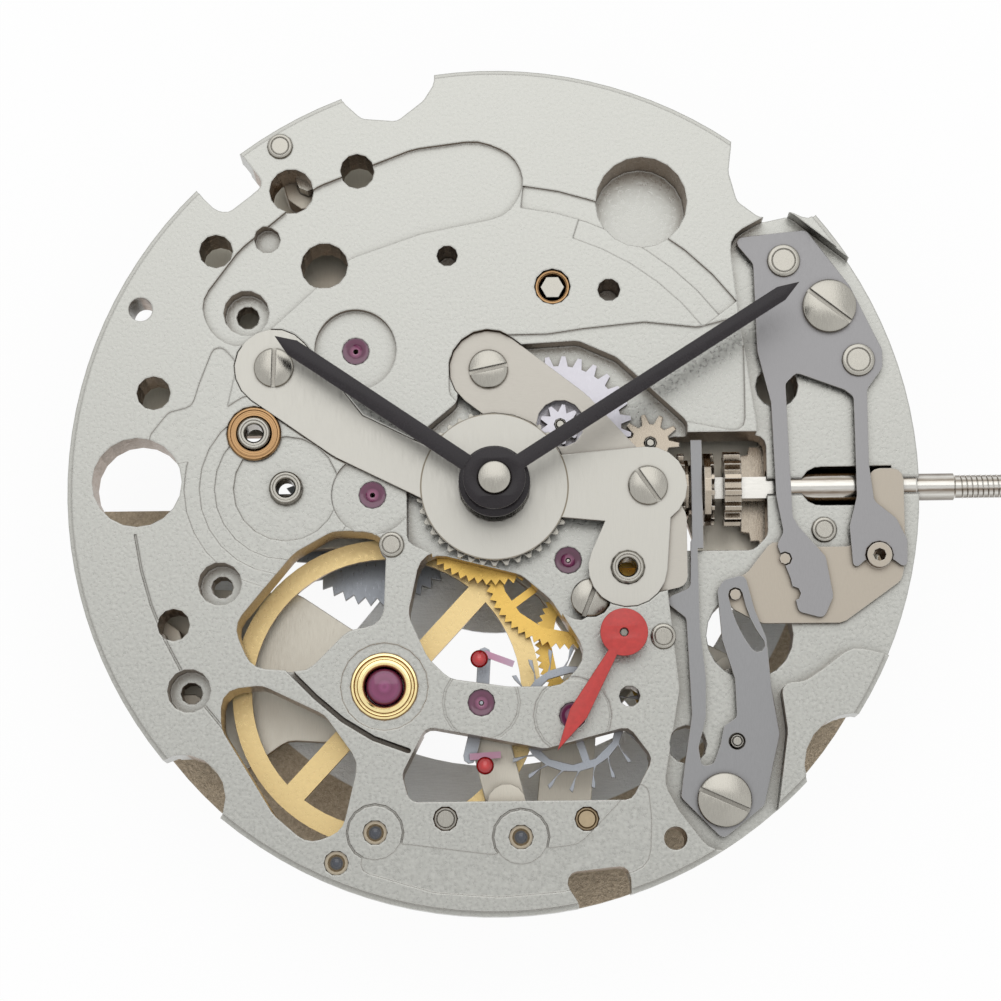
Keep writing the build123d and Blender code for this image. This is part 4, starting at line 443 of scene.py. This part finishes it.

# Painted shade for upright walls, in place of the metal's own colour.
WALL_SHADE_BROWN = srgb(134, 108, 80)
BRASS_WALL_SHADE = srgb(150, 112, 56)
# Painted highlight for sharp edges.
PAINTED_EDGE_HIGHLIGHT = srgb(204, 202, 196)
JEWEL_STOPS = (
    (0.0, (60, 20, 48)), (0.08, (74, 26, 58)), (0.11, (156, 92, 124)), (0.19, (132, 66, 102)),
    (0.23, (96, 38, 70)), (0.36, (106, 48, 80)), (0.44, (72, 30, 56)),
)
SHOCK_STOPS = (
    (0.0, (116, 44, 86)), (0.12, (144, 62, 112)), (0.24, (120, 40, 86)), (0.40, (132, 50, 98)),
    (0.50, (110, 34, 80)), (0.60, (78, 22, 60)),
)
PIN_STOPS = ((0.0, (66, 72, 84)), (0.12, (52, 56, 66)), (0.20, (104, 108, 114)), (0.24, (150, 132, 104)),
             (0.30, (196, 182, 156)), (0.40, (176, 166, 146)))
# Painted reflection on the stem: bright and dark bands by which way its round surface faces.
STEM_REFLECTION_STOPS = (
    (0.02, (96, 84, 72)), (0.20, (214, 212, 206)), (0.36, (120, 106, 92)), (0.46, (200, 198, 193)),
    (0.62, (190, 188, 182)), (0.74, (150, 140, 128)), (0.86, (222, 220, 214)), (0.98, (110, 98, 86)),
)

# In each metal, the wall colour is painted shade on upright walls, the edge colour a painted highlight on
# sharp edges, and the shade colour painted shade in gaps.
MATERIALS = {
    "plate": grained_metal("plated_plate", srgb(169, 169, 164), 0.30, 0.12, scale=10.0, relief=0.50,
                           wall_shade=WALL_SHADE_BROWN, rim=12.4, edge=(0.07, PAINTED_EDGE_HIGHLIGHT)),
    "back": grained_metal("plated_bridges", srgb(194, 189, 177), 0.38, 0.06, (6.0, 0.6, 1.0), scale=6.0,
                          wall_shade=WALL_SHADE_BROWN, edge=(0.06, PAINTED_EDGE_HIGHLIGHT)),
    "cover": grained_metal("satin_cover", srgb(179, 177, 170), 0.36, 0.04, (7.0, 0.4, 1.0), scale=4.0,
                           wall_shade=WALL_SHADE_BROWN, reach=0.3, edge=(0.04, PAINTED_EDGE_HIGHLIGHT), relief=0.18,
                           ring=(2.24, 0.035, srgb(120, 112, 98))),
    "bridge": grained_metal("satin_bridge", srgb(172, 168, 160), 0.38, 0.04, (0.5, 5.0, 1.0), reach=0.3,
                            wall_shade=WALL_SHADE_BROWN, edge=(0.04, PAINTED_EDGE_HIGHLIGHT)),
    "setting": grained_metal("beige_lever", srgb(166, 158, 146), 0.40, 0.05, (4.0, 0.5, 1.0), turn=0.5,
                             reach=0.3, wall_shade=WALL_SHADE_BROWN, edge=(0.04, PAINTED_EDGE_HIGHLIGHT)),
    "jumper": grained_metal("grey_jumper", srgb(141, 140, 141), 0.40, 0.06, (5.0, 0.6, 1.0), turn=0.2,
                            wall_shade=srgb(74, 68, 62), reach=0.25, edge=(0.04, srgb(196, 194, 190))),
    "yoke": grained_metal("grey_yoke", srgb(138, 138, 139), 0.40, 0.06, (5.0, 0.6, 1.0), turn=-0.1,
                          wall_shade=srgb(92, 84, 74), reach=0.25, edge=(0.04, PAINTED_EDGE_HIGHLIGHT)),
    "works": grained_metal("warm_steel", srgb(168, 158, 144), 0.26, 0.09, (3.0, 0.7, 1.0),
                           wall_shade=srgb(132, 112, 90), shade=(52, 38, 28), reach=0.4, edge=(0.05, PAINTED_EDGE_HIGHLIGHT)),
    "steel": grained_metal("grey_steel", srgb(150, 154, 160), 0.32, 0.06, (3.0, 0.7, 1.0),
                           wall_shade=srgb(96, 90, 84), edge=(0.04, PAINTED_EDGE_HIGHLIGHT)),
    "pale": grained_metal("pale_wheel", srgb(186, 184, 190), 0.34, 0.05, (3.0, 0.7, 1.0),
                          wall_shade=srgb(112, 98, 80), shade=(70, 54, 38), reach=0.35),
    "polished": grained_metal("polished_steel", srgb(162, 159, 151), 0.22, 0.06, (5.0, 0.6, 1.0), reach=0.35,
                              wall_shade=srgb(132, 122, 106), shade=(70, 58, 46), edge=(0.03, PAINTED_EDGE_HIGHLIGHT)),
    "stem": reflection_banded_metal("stem_painted_reflection", STEM_REFLECTION_STOPS, 0.16),
    "brass": grained_metal("gilt_brass", srgb(214, 190, 138), 0.30, 0.05, scale=7.0, wall_shade=BRASS_WALL_SHADE,
                           shade=(96, 60, 24)),
    "gold": grained_metal("gilt_wheel", srgb(212, 176, 96), 0.30, 0.06, scale=7.0, wall_shade=srgb(128, 84, 34),
                          shade=(84, 48, 16), reach=0.4),
    "shock": grained_metal("shock_brass", srgb(240, 222, 166), 0.16, 0.05, scale=7.0, wall_shade=srgb(196, 150, 74),
                           shade=(110, 72, 24), reach=0.25, turned=((BALANCE,), 0.08), relief=0.12),
    "bush": grained_metal("bronze_bush", srgb(168, 134, 96), 0.30, 0.07, scale=9.0, wall_shade=BRASS_WALL_SHADE,
                          reach=0.3, turned=((BARREL, WASHER), 0.06), relief=0.15),
    "tan_pin": grained_metal("tan_pin", srgb(164, 148, 122), 0.34, 0.06, scale=8.0, reach=0.3),
    "sunk_pin": jewel("sunk_pin", SUNK_PINS, PIN_STOPS),
    "jewel": jewel("purple_ruby", TRAIN_JEWELS, JEWEL_STOPS),
    "balance_jewel": jewel("pink_ruby", (BALANCE,), SHOCK_STOPS),
    "ruby": jewel("pallet_ruby", STONES, (
        (0.0, (176, 34, 44)), (0.30, (186, 46, 58)), (0.42, (214, 150, 182)), (1.2, (214, 184, 208)))),
    "stone_end": jewel("stone_end", STONE_ENDS, (
        (0.0, (214, 90, 90)), (0.10, (192, 34, 36)), (0.22, (160, 18, 24)), (0.30, (96, 8, 14)))),
    # The black enamel's walls are lighter than its top: a painted sheen.
    "black": lacquer("black_enamel", srgb(40, 36, 39), 0.26, srgb(58, 54, 57), 0.25),
    # The red lacquer's walls are darker than its top: painted shade.
    "red": lacquer("red_lacquer", srgb(188, 58, 54), 0.34, srgb(140, 34, 36), 0.5),
    "spring": grained_metal("blued_spring", srgb(120, 126, 140), 0.25, 0.05, (2.0, 2.0, 8.0)),
    "rotor": grainy_metal("heavy_rotor", srgb(150, 139, 122), srgb(206, 196, 180), 0.55),
    "web": grainy_metal("rotor_web", srgb(172, 158, 138), srgb(222, 212, 196), 0.50,
                        smooth=(9.9, srgb(222, 224, 224))),
}

LOOKS = {
    "plate": ("main_plate",),
    "back": ("pallet_bridge", "barrel_bridge", "train_bridge", "balance_cock"),
    "cover": ("hour_wheel_cover",),
    "bridge": ("minute_wheel_bridge",),
    "setting": ("setting_lever",),
    "jumper": ("setting_lever_jumper",),
    "yoke": ("yoke",),
    "works": ("clutch", "winding_pinion", "setting_wheel", "crown_wheel", "intermediate_wheel", "click"),
    "steel": ("ratchet_wheel", "reducer_wheel", "reverser_wheel", "roller", "pallet_fork", "rotor_bearing",
              "escape_wheel"),
    "pale": ("minute_wheel",),
    "polished": ("hour_wheel", "cover_screws", "lever_screws", "plate_studs", "guide_posts", "bridge_screws",
                 "rotor_post", "centre_pinion", "cannon_pinion", "third_pinion", "fourth_pinion",
                 "escape_pinion", "balance_staff", "barrel_arbor", "reverser_pinion"),
    "stem": ("winding_stem",),
    "brass": ("balance_wheel", "barrel_drum", "barrel_cover"),
    "gold": ("centre_wheel", "third_wheel", "fourth_wheel"),
    "shock": ("shock_rings",),
    "bush": ("brass_bushes",),
    "jewel": ("dial_side_jewels", "bridge_jewels"),
    "balance_jewel": ("shock_jewels",),
    "ruby": ("pallet_stones",),
    "black": ("minute_hand", "hour_hand"),
    "red": ("seconds_hand",),
    "spring": ("click_spring", "hairspring", "mainspring"),
    "rotor": ("rotor_weight",),
    "web": ("rotor_web",),
}

for look, names in LOOKS.items():
    for name in names:
        for place in nodes[name].material_slots:
            place.material = MATERIALS[look]


def mesh_object(name, mesh, *materials):
    piece = bpy.data.objects.new(name, mesh)
    for material in materials:
        piece.data.materials.append(material)
    bpy.context.scene.collection.objects.link(piece)
    return piece


def welded_copy(data):
    """A copy of a mesh whose faces share their corners."""
    mesh = bmesh.new()
    mesh.from_mesh(data)
    bmesh.ops.remove_doubles(mesh, verts=mesh.verts, dist=WELD)
    return mesh


def evaluated_mesh(piece):
    """The mesh of a piece with its modifiers or its bevel applied."""
    bpy.context.view_layer.update()
    return bpy.data.meshes.new_from_object(piece.evaluated_get(bpy.context.evaluated_depsgraph_get()))


def solids_of(name):
    """The separate solids of a CAD node, each as a list of its points."""
    mesh = welded_copy(nodes[name].data)
    seen, solids = set(), []
    for first in mesh.verts:
        if first in seen:
            continue
        seen.add(first)
        waiting, points = [first], []
        while waiting:
            vertex = waiting.pop()
            points.append(vertex.co.copy())
            for line in vertex.link_edges:
                other = line.other_vert(vertex)
                if other not in seen:
                    seen.add(other)
                    waiting.append(other)
        solids.append(points)
    mesh.free()
    return solids


def extent(points):
    """Centre in plan, half width, and lowest and highest level of a solid."""
    low = [min(point[axis] for point in points) for axis in range(3)]
    high = [max(point[axis] for point in points) for axis in range(3)]
    centre = ((low[0] + high[0]) / 2, (low[1] + high[1]) / 2)
    return centre, (high[0] - low[0]) / 2, low[2], high[2]


def plan_distance(point, centre):
    """How far a point lies in plan from a centre."""
    return Vector((point[0] - centre[0], point[1] - centre[1])).length


def turned_solid(mesh, centre, profile, look=0):
    """Adds the solid that a profile of radii and levels makes round an upright axis."""
    rows = []
    for radius, level in profile:
        count = ROUND_STEPS if radius > 0 else 1
        angles = [2 * pi * step / ROUND_STEPS for step in range(count)]
        rows.append([mesh.verts.new((centre[0] + radius * cos(angle), centre[1] + radius * sin(angle), level))
                     for angle in angles])
    pairs = list(zip(rows, rows[1:]))
    if len(rows[0]) > 1:
        pairs.append((rows[-1], rows[0]))
    for before, after in pairs:
        for step in range(ROUND_STEPS):
            following = (step + 1) % ROUND_STEPS
            corners = [before[step % len(before)], before[following % len(before)],
                       after[following % len(after)], after[step % len(after)]]
            face = mesh.faces.new(list(dict.fromkeys(corners)))
            face.material_index = look


def finished_mesh(name, mesh):
    """The mesh with its faces outward, smooth round curves and sharp at corners."""
    bmesh.ops.recalc_face_normals(mesh, faces=mesh.faces)
    for face in mesh.faces:
        face.smooth = True
    for line in mesh.edges:
        line.smooth = len(line.link_faces) == 2 and line.calc_face_angle(0.0) < SHARP_ANGLE
    data = bpy.data.meshes.new(name)
    mesh.to_mesh(data)
    mesh.free()
    return data


def stand_in(name, mesh, body, slot, *looks):
    """A finer piece in the place of the CAD node of the same name."""
    data = finished_mesh("fine_" + name, mesh)
    piece = mesh_object("fine_" + name, data, *[MATERIALS[look] for look in looks])
    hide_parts(name)
    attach(piece, body)
    return piece


def near(centre, marks):
    return any(abs(centre[0] - x * MM) + abs(centre[1] - y * MM) < 0.1 * MM for x, y in marks)


def pin_profile(radius, low, high):
    """A pin with a broken edge and a fine groove in its end."""
    edge, groove = 0.05 * MM, 0.72 * radius
    return [(0, low), (radius, low), (radius, high - edge), (radius - 0.3 * edge, high - 0.3 * edge),
            (radius - edge, high), (groove + 0.02 * MM, high), (groove, high - 0.03 * MM),
            (groove - 0.03 * MM, high), (0, high)]


def sunk_profile(radius, low, high):
    """A ring with a domed pin sunk in it."""
    return [(0, low), (radius, low), (radius, high - 0.04 * MM), (radius - 0.03 * MM, high),
            (0.70 * radius, high), (0.62 * radius, high - 0.14 * MM), (0.50 * radius, high - 0.10 * MM),
            (0.30 * radius, high - 0.05 * MM), (0, high - 0.04 * MM)]


def post_profile(radius, bore, low, high):
    """A tube with a rounded lip and a turned step round its bore."""
    return [(bore, low), (radius, low), (radius, high - 0.06 * MM), (radius - 0.05 * MM, high),
            (radius - 0.10 * MM, high), (radius - 0.12 * MM, high - 0.04 * MM),
            (bore + 0.05 * MM, high - 0.04 * MM), (bore, high - 0.10 * MM)]


def screw_profile(radius, low, seat, high):
    low += SHANK_SHORTER
    return [(0, low), (radius / 2, low), (radius / 2, seat), (radius, seat), (radius, high - 0.05 * MM),
            (radius - 0.015 * MM, high - 0.02 * MM), (radius - 0.05 * MM, high), (0, high)]


def jewel_profile(radius, hole, low, high):
    """A jewel with a rounded edge and an oil sink round its hole."""
    high += JEWEL_PROUD
    return [(hole, low), (radius, low), (radius, high - 0.03 * MM), (radius - 0.02 * MM, high),
            (0.60 * radius, high), (0.46 * radius, high - 0.03 * MM), (0.34 * radius, high - 0.07 * MM),
            (hole, high - 0.08 * MM)]


def shock_profile(radius, bore, low, high):
    """A setting with a raised rim, a groove for its spring and an inner lip; it may face either way."""
    up = MM if high > low else -MM
    return [(bore, low), (radius, low), (radius, high - 0.08 * up), (radius - 0.03 * MM, high - 0.01 * up),
            (radius - 0.09 * MM, high), (radius - 0.13 * MM, high - 0.07 * up),
            (radius - 0.19 * MM, high - 0.07 * up), (radius - 0.22 * MM, high - 0.01 * up),
            (bore + 0.12 * MM, high), (bore + 0.05 * MM, high - 0.05 * up), (bore, high - 0.16 * up)]


def cap_profile(radius, low, high):
    """A cap jewel: flat in the middle and falling off to its edge."""
    up = MM if high > low else -MM
    return [(0, low), (radius, low), (radius, high - 0.09 * up), (0.93 * radius, high - 0.03 * up),
            (0.80 * radius, high), (0, high)]


def round_pins():
    mesh = bmesh.new()
    for points in solids_of("plate_studs"):
        centre, radius, low, high = extent(points)
        if near(centre, SUNK_PINS):
            turned_solid(mesh, centre, sunk_profile(radius, low, high), 1)
        else:
            turned_solid(mesh, centre, pin_profile(radius, low, high), 2 if near(centre, TAN_PINS) else 0)
    stand_in("plate_studs", mesh, "frame", "polished_steel", "polished", "sunk_pin", "tan_pin")


def round_tubes(name, slot, look, shape):
    mesh = bmesh.new()
    for points in solids_of(name):
        centre, radius, low, high = extent(points)
        bore = min(plan_distance(point, centre) for point in points)
        turned_solid(mesh, centre, shape(radius, bore, low, high))
    stand_in(name, mesh, "frame", slot, look)


def shock_setting():
    rings_mesh, caps_mesh = bmesh.new(), bmesh.new()
    for points in solids_of("shock_rings"):
        centre, radius, low, high = extent(points)
        if high < BACK_LEVEL:
            low, high = high, low
        bore = min(plan_distance(point, centre) for point in points)
        turned_solid(rings_mesh, centre, shock_profile(radius, bore, low, high))
    for points in solids_of("shock_jewels"):
        centre, radius, low, high = extent(points)
        if high < BACK_LEVEL:
            low, high = high, low
        turned_solid(caps_mesh, centre, cap_profile(radius, low, high))
    stand_in("shock_rings", rings_mesh, "frame", "brass", "shock")
    stand_in("shock_jewels", caps_mesh, "frame", "pink_jewel", "balance_jewel")


def box_between(mesh, centre, along, length, width, low, high):
    across = Vector((-along[1], along[0]))
    corners = []
    for level in (low, high):
        for first, second in ((-1, -1), (1, -1), (1, 1), (-1, 1)):
            place = Vector(centre) + along * first * length / 2 + across * second * width / 2
            corners.append(mesh.verts.new((place[0], place[1], level)))
    for order in ((3, 2, 1, 0), (4, 5, 6, 7), (0, 1, 5, 4), (1, 2, 6, 5), (2, 3, 7, 6), (3, 0, 4, 7)):
        mesh.faces.new([corners[index] for index in order])


def slot_direction(points, centre, radius, floor_level):
    """The way a screw's slot runs, from the corners of its floor at the head's edge."""
    ends = []
    for point in points:
        arm = Vector((point[0] - centre[0], point[1] - centre[1]))
        if abs(point[2] - floor_level) < 0.004 * MM and arm.length > 0.9 * radius:
            ends.append(arm)
    total = Vector((0.0, 0.0))
    for arm in ends:
        total += arm if arm.dot(ends[0]) > 0 else -arm
    return total.normalized()


def screws(name):
    """Screws with rounded heads and cut slots."""
    heads, slots = bmesh.new(), bmesh.new()
    for points in solids_of(name):
        centre, radius, low, high = extent(points)
        seat = min(point[2] for point in points if plan_distance(point, centre) > 0.9 * radius)
        turned_solid(heads, centre, screw_profile(radius, low, seat, high))
        along = slot_direction(points, centre, radius, high - SLOT_DEPTH)
        box_between(slots, centre, along, 2.4 * radius, SLOT_WIDTH, high - SLOT_DEPTH, high + 0.1 * MM)
    bmesh.ops.recalc_face_normals(heads, faces=heads.faces)
    bmesh.ops.recalc_face_normals(slots, faces=slots.faces)
    body_data, tool_data = bpy.data.meshes.new("heads"), bpy.data.meshes.new("slots")
    heads.to_mesh(body_data)
    slots.to_mesh(tool_data)
    heads.free()
    slots.free()
    body, tool = mesh_object("heads", body_data), mesh_object("slots", tool_data)
    cut = body.modifiers.new("slots", "BOOLEAN")
    cut.operation, cut.solver, cut.object = "DIFFERENCE", "EXACT", tool
    result = bmesh.new()
    result.from_mesh(evaluated_mesh(body))
    bpy.data.objects.remove(body)
    bpy.data.objects.remove(tool)
    stand_in(name, result, "frame", "polished_steel", "polished")


def circle(radius, start=0.0, end=2 * pi, steps=ROUND_STEPS):
    angles = [start + (end - start) * step / steps for step in range(steps + 1)]
    return [(radius * cos(angle), radius * sin(angle)) for angle in angles]


def bevelled_plate(loops, low, high, place, angle):
    """A flat piece with bevelled edges, from an outline and its holes."""
    curve = bpy.data.curves.new("outline", "CURVE")
    curve.dimensions, curve.fill_mode = "2D", "BOTH"
    curve.bevel_depth, curve.bevel_resolution, curve.offset = HAND_BEVEL, 1, -HAND_BEVEL
    curve.extrude = (high - low) / 2 - HAND_BEVEL
    for loop in loops:
        spline = curve.splines.new("POLY")
        spline.points.add(len(loop) - 1)
        for point, (x, y) in zip(spline.points, loop):
            point.co = (x * cos(angle) - y * sin(angle), x * sin(angle) + y * cos(angle), 0.0, 1.0)
        spline.use_cyclic_u = True
    holder = bpy.data.objects.new("outline", curve)
    bpy.context.scene.collection.objects.link(holder)
    mesh = welded_copy(evaluated_mesh(holder))
    bpy.data.objects.remove(holder)
    bmesh.ops.translate(mesh, verts=mesh.verts, vec=(place[0], place[1], (low + high) / 2))
    return mesh


def hand_outline(hub, root, widest, length, tip):
    """A round hub with a blade along +X that ends in a point."""
    start = asin(root / hub)
    outline = circle(hub, start, 2 * pi - start)
    return outline + [(length - tip, -widest), (length, 0.0), (length - tip, widest)]


def hand(name, body, slot, look, place, shape, bore, low, high, angle, tube=None):
    outline = hand_outline(*[size * MM for size in shape])
    mesh = bevelled_plate([outline, circle(bore)[:-1]], low, high, place, angle)
    if tube:
        radius, foot = tube
        turned_solid(mesh, place, [(bore, foot), (radius, foot), (radius, low), (bore, low)])
    stand_in(name, mesh, body, slot, look)


def hands():
    fourth, _, _, _ = extent(solids_of("fourth_pinion")[0])
    hand("minute_hand", "centre", "black_hand", "black", CENTRE, MINUTE_HAND,
         0.50 * MM, 1.75 * MM, 1.90 * MM, radians(32.3))
    hand("hour_hand", "hour", "black_hand", "black", CENTRE, HOUR_HAND,
         0.78 * MM, 1.00 * MM, 1.15 * MM, radians(145.6), (0.95 * MM, 0.15 * MM))
    hand("seconds_hand", "fourth", "red_hand", "red", fourth, SECONDS_HAND,
         0.13 * MM, 0.85 * MM, 1.00 * MM, radians(-120.1), (0.26 * MM, 0.07 * MM))


def cannon():
    """The cannon pinion: its leaves as they are, and a round tube with a bevelled end above them."""
    mesh = welded_copy(nodes["cannon_pinion"].data)
    _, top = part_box("cannon_pinion")
    bmesh.ops.bisect_plane(mesh, geom=mesh.verts[:] + mesh.edges[:] + mesh.faces[:], plane_co=(0, 0, 0),
                           plane_no=(0, 0, 1), clear_outer=True)
    radius, edge = CANNON_RADIUS, CANNON_EDGE
    turned_solid(mesh, CENTRE, [(0, 0.0), (radius, 0.0), (radius, top[2] - edge),
                                (radius - 0.3 * edge, top[2] - 0.3 * edge), (radius - edge, top[2]),
                                (0, top[2])])
    stand_in("cannon_pinion", mesh, "centre", "polished_steel", "polished")


def fine_stem():
    """The stem: its pilot and square as they are, and its round lengths turned, with broken edges."""
    low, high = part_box("winding_stem")
    axis_height = (low[2] + high[2]) / 2
    mesh = welded_copy(nodes["winding_stem"].data)
    bmesh.ops.bisect_plane(mesh, geom=mesh.verts[:] + mesh.edges[:] + mesh.faces[:],
                           plane_co=(STEM_SQUARE_END * MM, 0, 0), plane_no=(1, 0, 0), clear_outer=True)
    turned = bmesh.new()
    turned_solid(turned, CENTRE, [(radius * MM, along * MM) for radius, along in STEM_PROFILE])
    bmesh.ops.transform(turned, verts=turned.verts,
                        matrix=Matrix.Translation((0, 0, axis_height)) @ Matrix.Rotation(pi / 2, 4, "Y"))
    rounds = bpy.data.meshes.new("rounds")
    turned.to_mesh(rounds)
    turned.free()
    mesh.from_mesh(rounds)
    stand_in("winding_stem", mesh, "stem", "polished_steel", "stem")


def stone_ends():
    """The round red ends that the pallet stones show beside the fork."""
    _, fork_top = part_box("pallet_fork")
    _, stone_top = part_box("pallet_stones")
    foot = max(fork_top[2], stone_top[2])
    mesh = bmesh.new()
    radius = STONE_END_RADIUS
    for x, y in STONE_ENDS:
        dome = [(0, foot)] + [(radius * cos(step * pi / 12), foot + 0.8 * radius * sin(step * pi / 12))
                              for step in range(6)] + [(0, foot + 0.8 * radius)]
        turned_solid(mesh, (x * MM, y * MM), dome)
    piece = mesh_object("pallet_stone_ends", finished_mesh("pallet_stone_ends", mesh), MATERIALS["stone_end"])
    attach(piece, "pallet")


def stem_thread():
    """The fine ridge wound round the stem's thin end."""
    low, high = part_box("winding_stem")
    axis_height = (low[2] + high[2]) / 2
    start, end = high[0] - THREAD_LENGTH, high[0] - THREAD_END_GAP
    ridge = ((-0.3, THREAD_CORE - THREAD_SUNK), (0.0, THREAD_CORE + THREAD_DEPTH / 2),
             (0.3, THREAD_CORE - THREAD_SUNK))
    turns = (end - start) / THREAD_PITCH
    steps = int(turns * THREAD_STEPS)
    mesh = bmesh.new()
    rows = []
    for step in range(steps + 1):
        angle = 2 * pi * step / THREAD_STEPS
        along = start + (end - start) * step / steps
        row = []
        for offset, radius in ridge:
            row.append(mesh.verts.new((along + offset * THREAD_PITCH, radius * cos(angle),
                                       axis_height + radius * sin(angle))))
        rows.append(row)
    for before, after in zip(rows, rows[1:]):
        for side in range(2):
            mesh.faces.new((before[side], before[side + 1], after[side + 1], after[side]))
        mesh.faces.new((before[2], before[0], after[0], after[2]))
    mesh.faces.new(rows[0])
    mesh.faces.new(list(reversed(rows[-1])))
    data = bpy.data.meshes.new("stem_thread")
    mesh.to_mesh(data)
    mesh.free()
    piece = mesh_object("stem_thread", data, MATERIALS["stem"])
    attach(piece, "stem")


stem_thread()
round_pins()
round_tubes("guide_posts", "polished_steel", "polished", post_profile)
round_tubes("brass_bushes", "brass", "bush", post_profile)
round_tubes("dial_side_jewels", "purple_jewel", "jewel", jewel_profile)
shock_setting()
screws("cover_screws")
screws("lever_screws")
hands()
cannon()
fine_stem()
stone_ends()


def seen_directly(tree):
    """1 for rays that come straight from the camera, through glass or off a shiny surface."""
    path = tree.nodes.new("ShaderNodeLightPath")
    seen = calculated(tree, "MAXIMUM", path.outputs["Is Camera Ray"], path.outputs["Is Transmission Ray"])
    return calculated(tree, "MAXIMUM", seen, path.outputs["Is Glossy Ray"])


def stage_material():
    """Nearly white where the camera and shiny surfaces look, with a faint shadow left."""
    material, tree, shader = new_material("pale_floor")
    speck = noise(tree, in_millimetres(tree), 0.4)
    tree.links.new(shaded_colour(tree, speck, srgb(250, 250, 250), 0.99, 1.0), shader.inputs["Base Color"])
    shader.inputs["Roughness"].default_value = 0.9
    glow = tree.nodes.new("ShaderNodeEmission")
    mix = tree.nodes.new("ShaderNodeMixShader")
    tree.links.new(calculated(tree, "MULTIPLY", seen_directly(tree), FLOOR_WHITE), mix.inputs["Fac"])
    tree.links.new(shader.outputs["BSDF"], mix.inputs[1])
    tree.links.new(glow.outputs["Emission"], mix.inputs[2])
    clear = tree.nodes.new("ShaderNodeBsdfTransparent")
    surface = tree.nodes.new("ShaderNodeNewGeometry")
    one_sided = tree.nodes.new("ShaderNodeMixShader")
    tree.links.new(surface.outputs["Backfacing"], one_sided.inputs["Fac"])
    tree.links.new(mix.outputs["Shader"], one_sided.inputs[1])
    tree.links.new(clear.outputs["BSDF"], one_sided.inputs[2])
    tree.links.new(one_sided.outputs["Shader"], tree.nodes["Material Output"].inputs["Surface"])
    return material


def floor():
    """The floor just under the lowest piece; its underside is clear, so it hides nothing from below."""
    low, _ = cad_box
    half = FLOOR_SIZE / 2
    mesh = bpy.data.meshes.new("floor")
    corners = [(x * half, y * half, low[2] - FLOOR_GAP) for x, y in ((-1, -1), (1, -1), (1, 1), (-1, 1))]
    mesh.from_pydata(corners, [], [(0, 1, 2, 3)])
    piece = mesh_object("floor", mesh, stage_material())


def camera():
    direction = Vector((0.0, -sin(CAMERA_TILT), cos(CAMERA_TILT)))
    data = bpy.data.cameras.new("camera")
    data.sensor_width = SENSOR_WIDTH
    data.lens = CAMERA_FOCAL_PIXELS * SENSOR_WIDTH / PHOTO_PIXELS
    data.clip_start = CAMERA_NEAR
    data.clip_end = CAMERA_FAR
    piece = bpy.data.objects.new("camera", data)
    piece.location = direction * CAMERA_DISTANCE
    piece.rotation_euler = (piece.location - CAMERA_AIM).to_track_quat("Z", "Y").to_euler()
    bpy.context.scene.collection.objects.link(piece)
    bpy.context.scene.camera = piece


def area_light(name, direction, power):
    data = bpy.data.lights.new(name, "AREA")
    data.energy = power
    data.size = LIGHT_SIZE
    piece = bpy.data.objects.new(name, data)
    piece.location = Vector(direction).normalized() * LIGHT_DISTANCE
    piece.rotation_euler = piece.location.to_track_quat("Z", "Y").to_euler()
    bpy.context.scene.collection.objects.link(piece)


def world():
    """Even light on the object, and white where the camera or a shiny surface sees it."""
    scene_world = bpy.context.scene.world or bpy.data.worlds.new("world")
    bpy.context.scene.world = scene_world
    scene_world.use_nodes = True
    tree = scene_world.node_tree
    back = tree.nodes["Background"]
    back.inputs["Color"].default_value = (1.0, 1.0, 1.0, 1.0)
    strength = tree.nodes.new("ShaderNodeMapRange")
    strength.inputs["To Min"].default_value = WORLD_LIGHT
    strength.inputs["To Max"].default_value = 1.0
    tree.links.new(seen_directly(tree), strength.inputs["Value"])
    tree.links.new(strength.outputs["Result"], back.inputs["Strength"])


floor()
camera()
area_light("key", KEY_DIRECTION, KEY_POWER)
area_light("fill", FILL_DIRECTION, FILL_POWER)
world()
bpy.context.scene.view_settings.view_transform = "Standard"
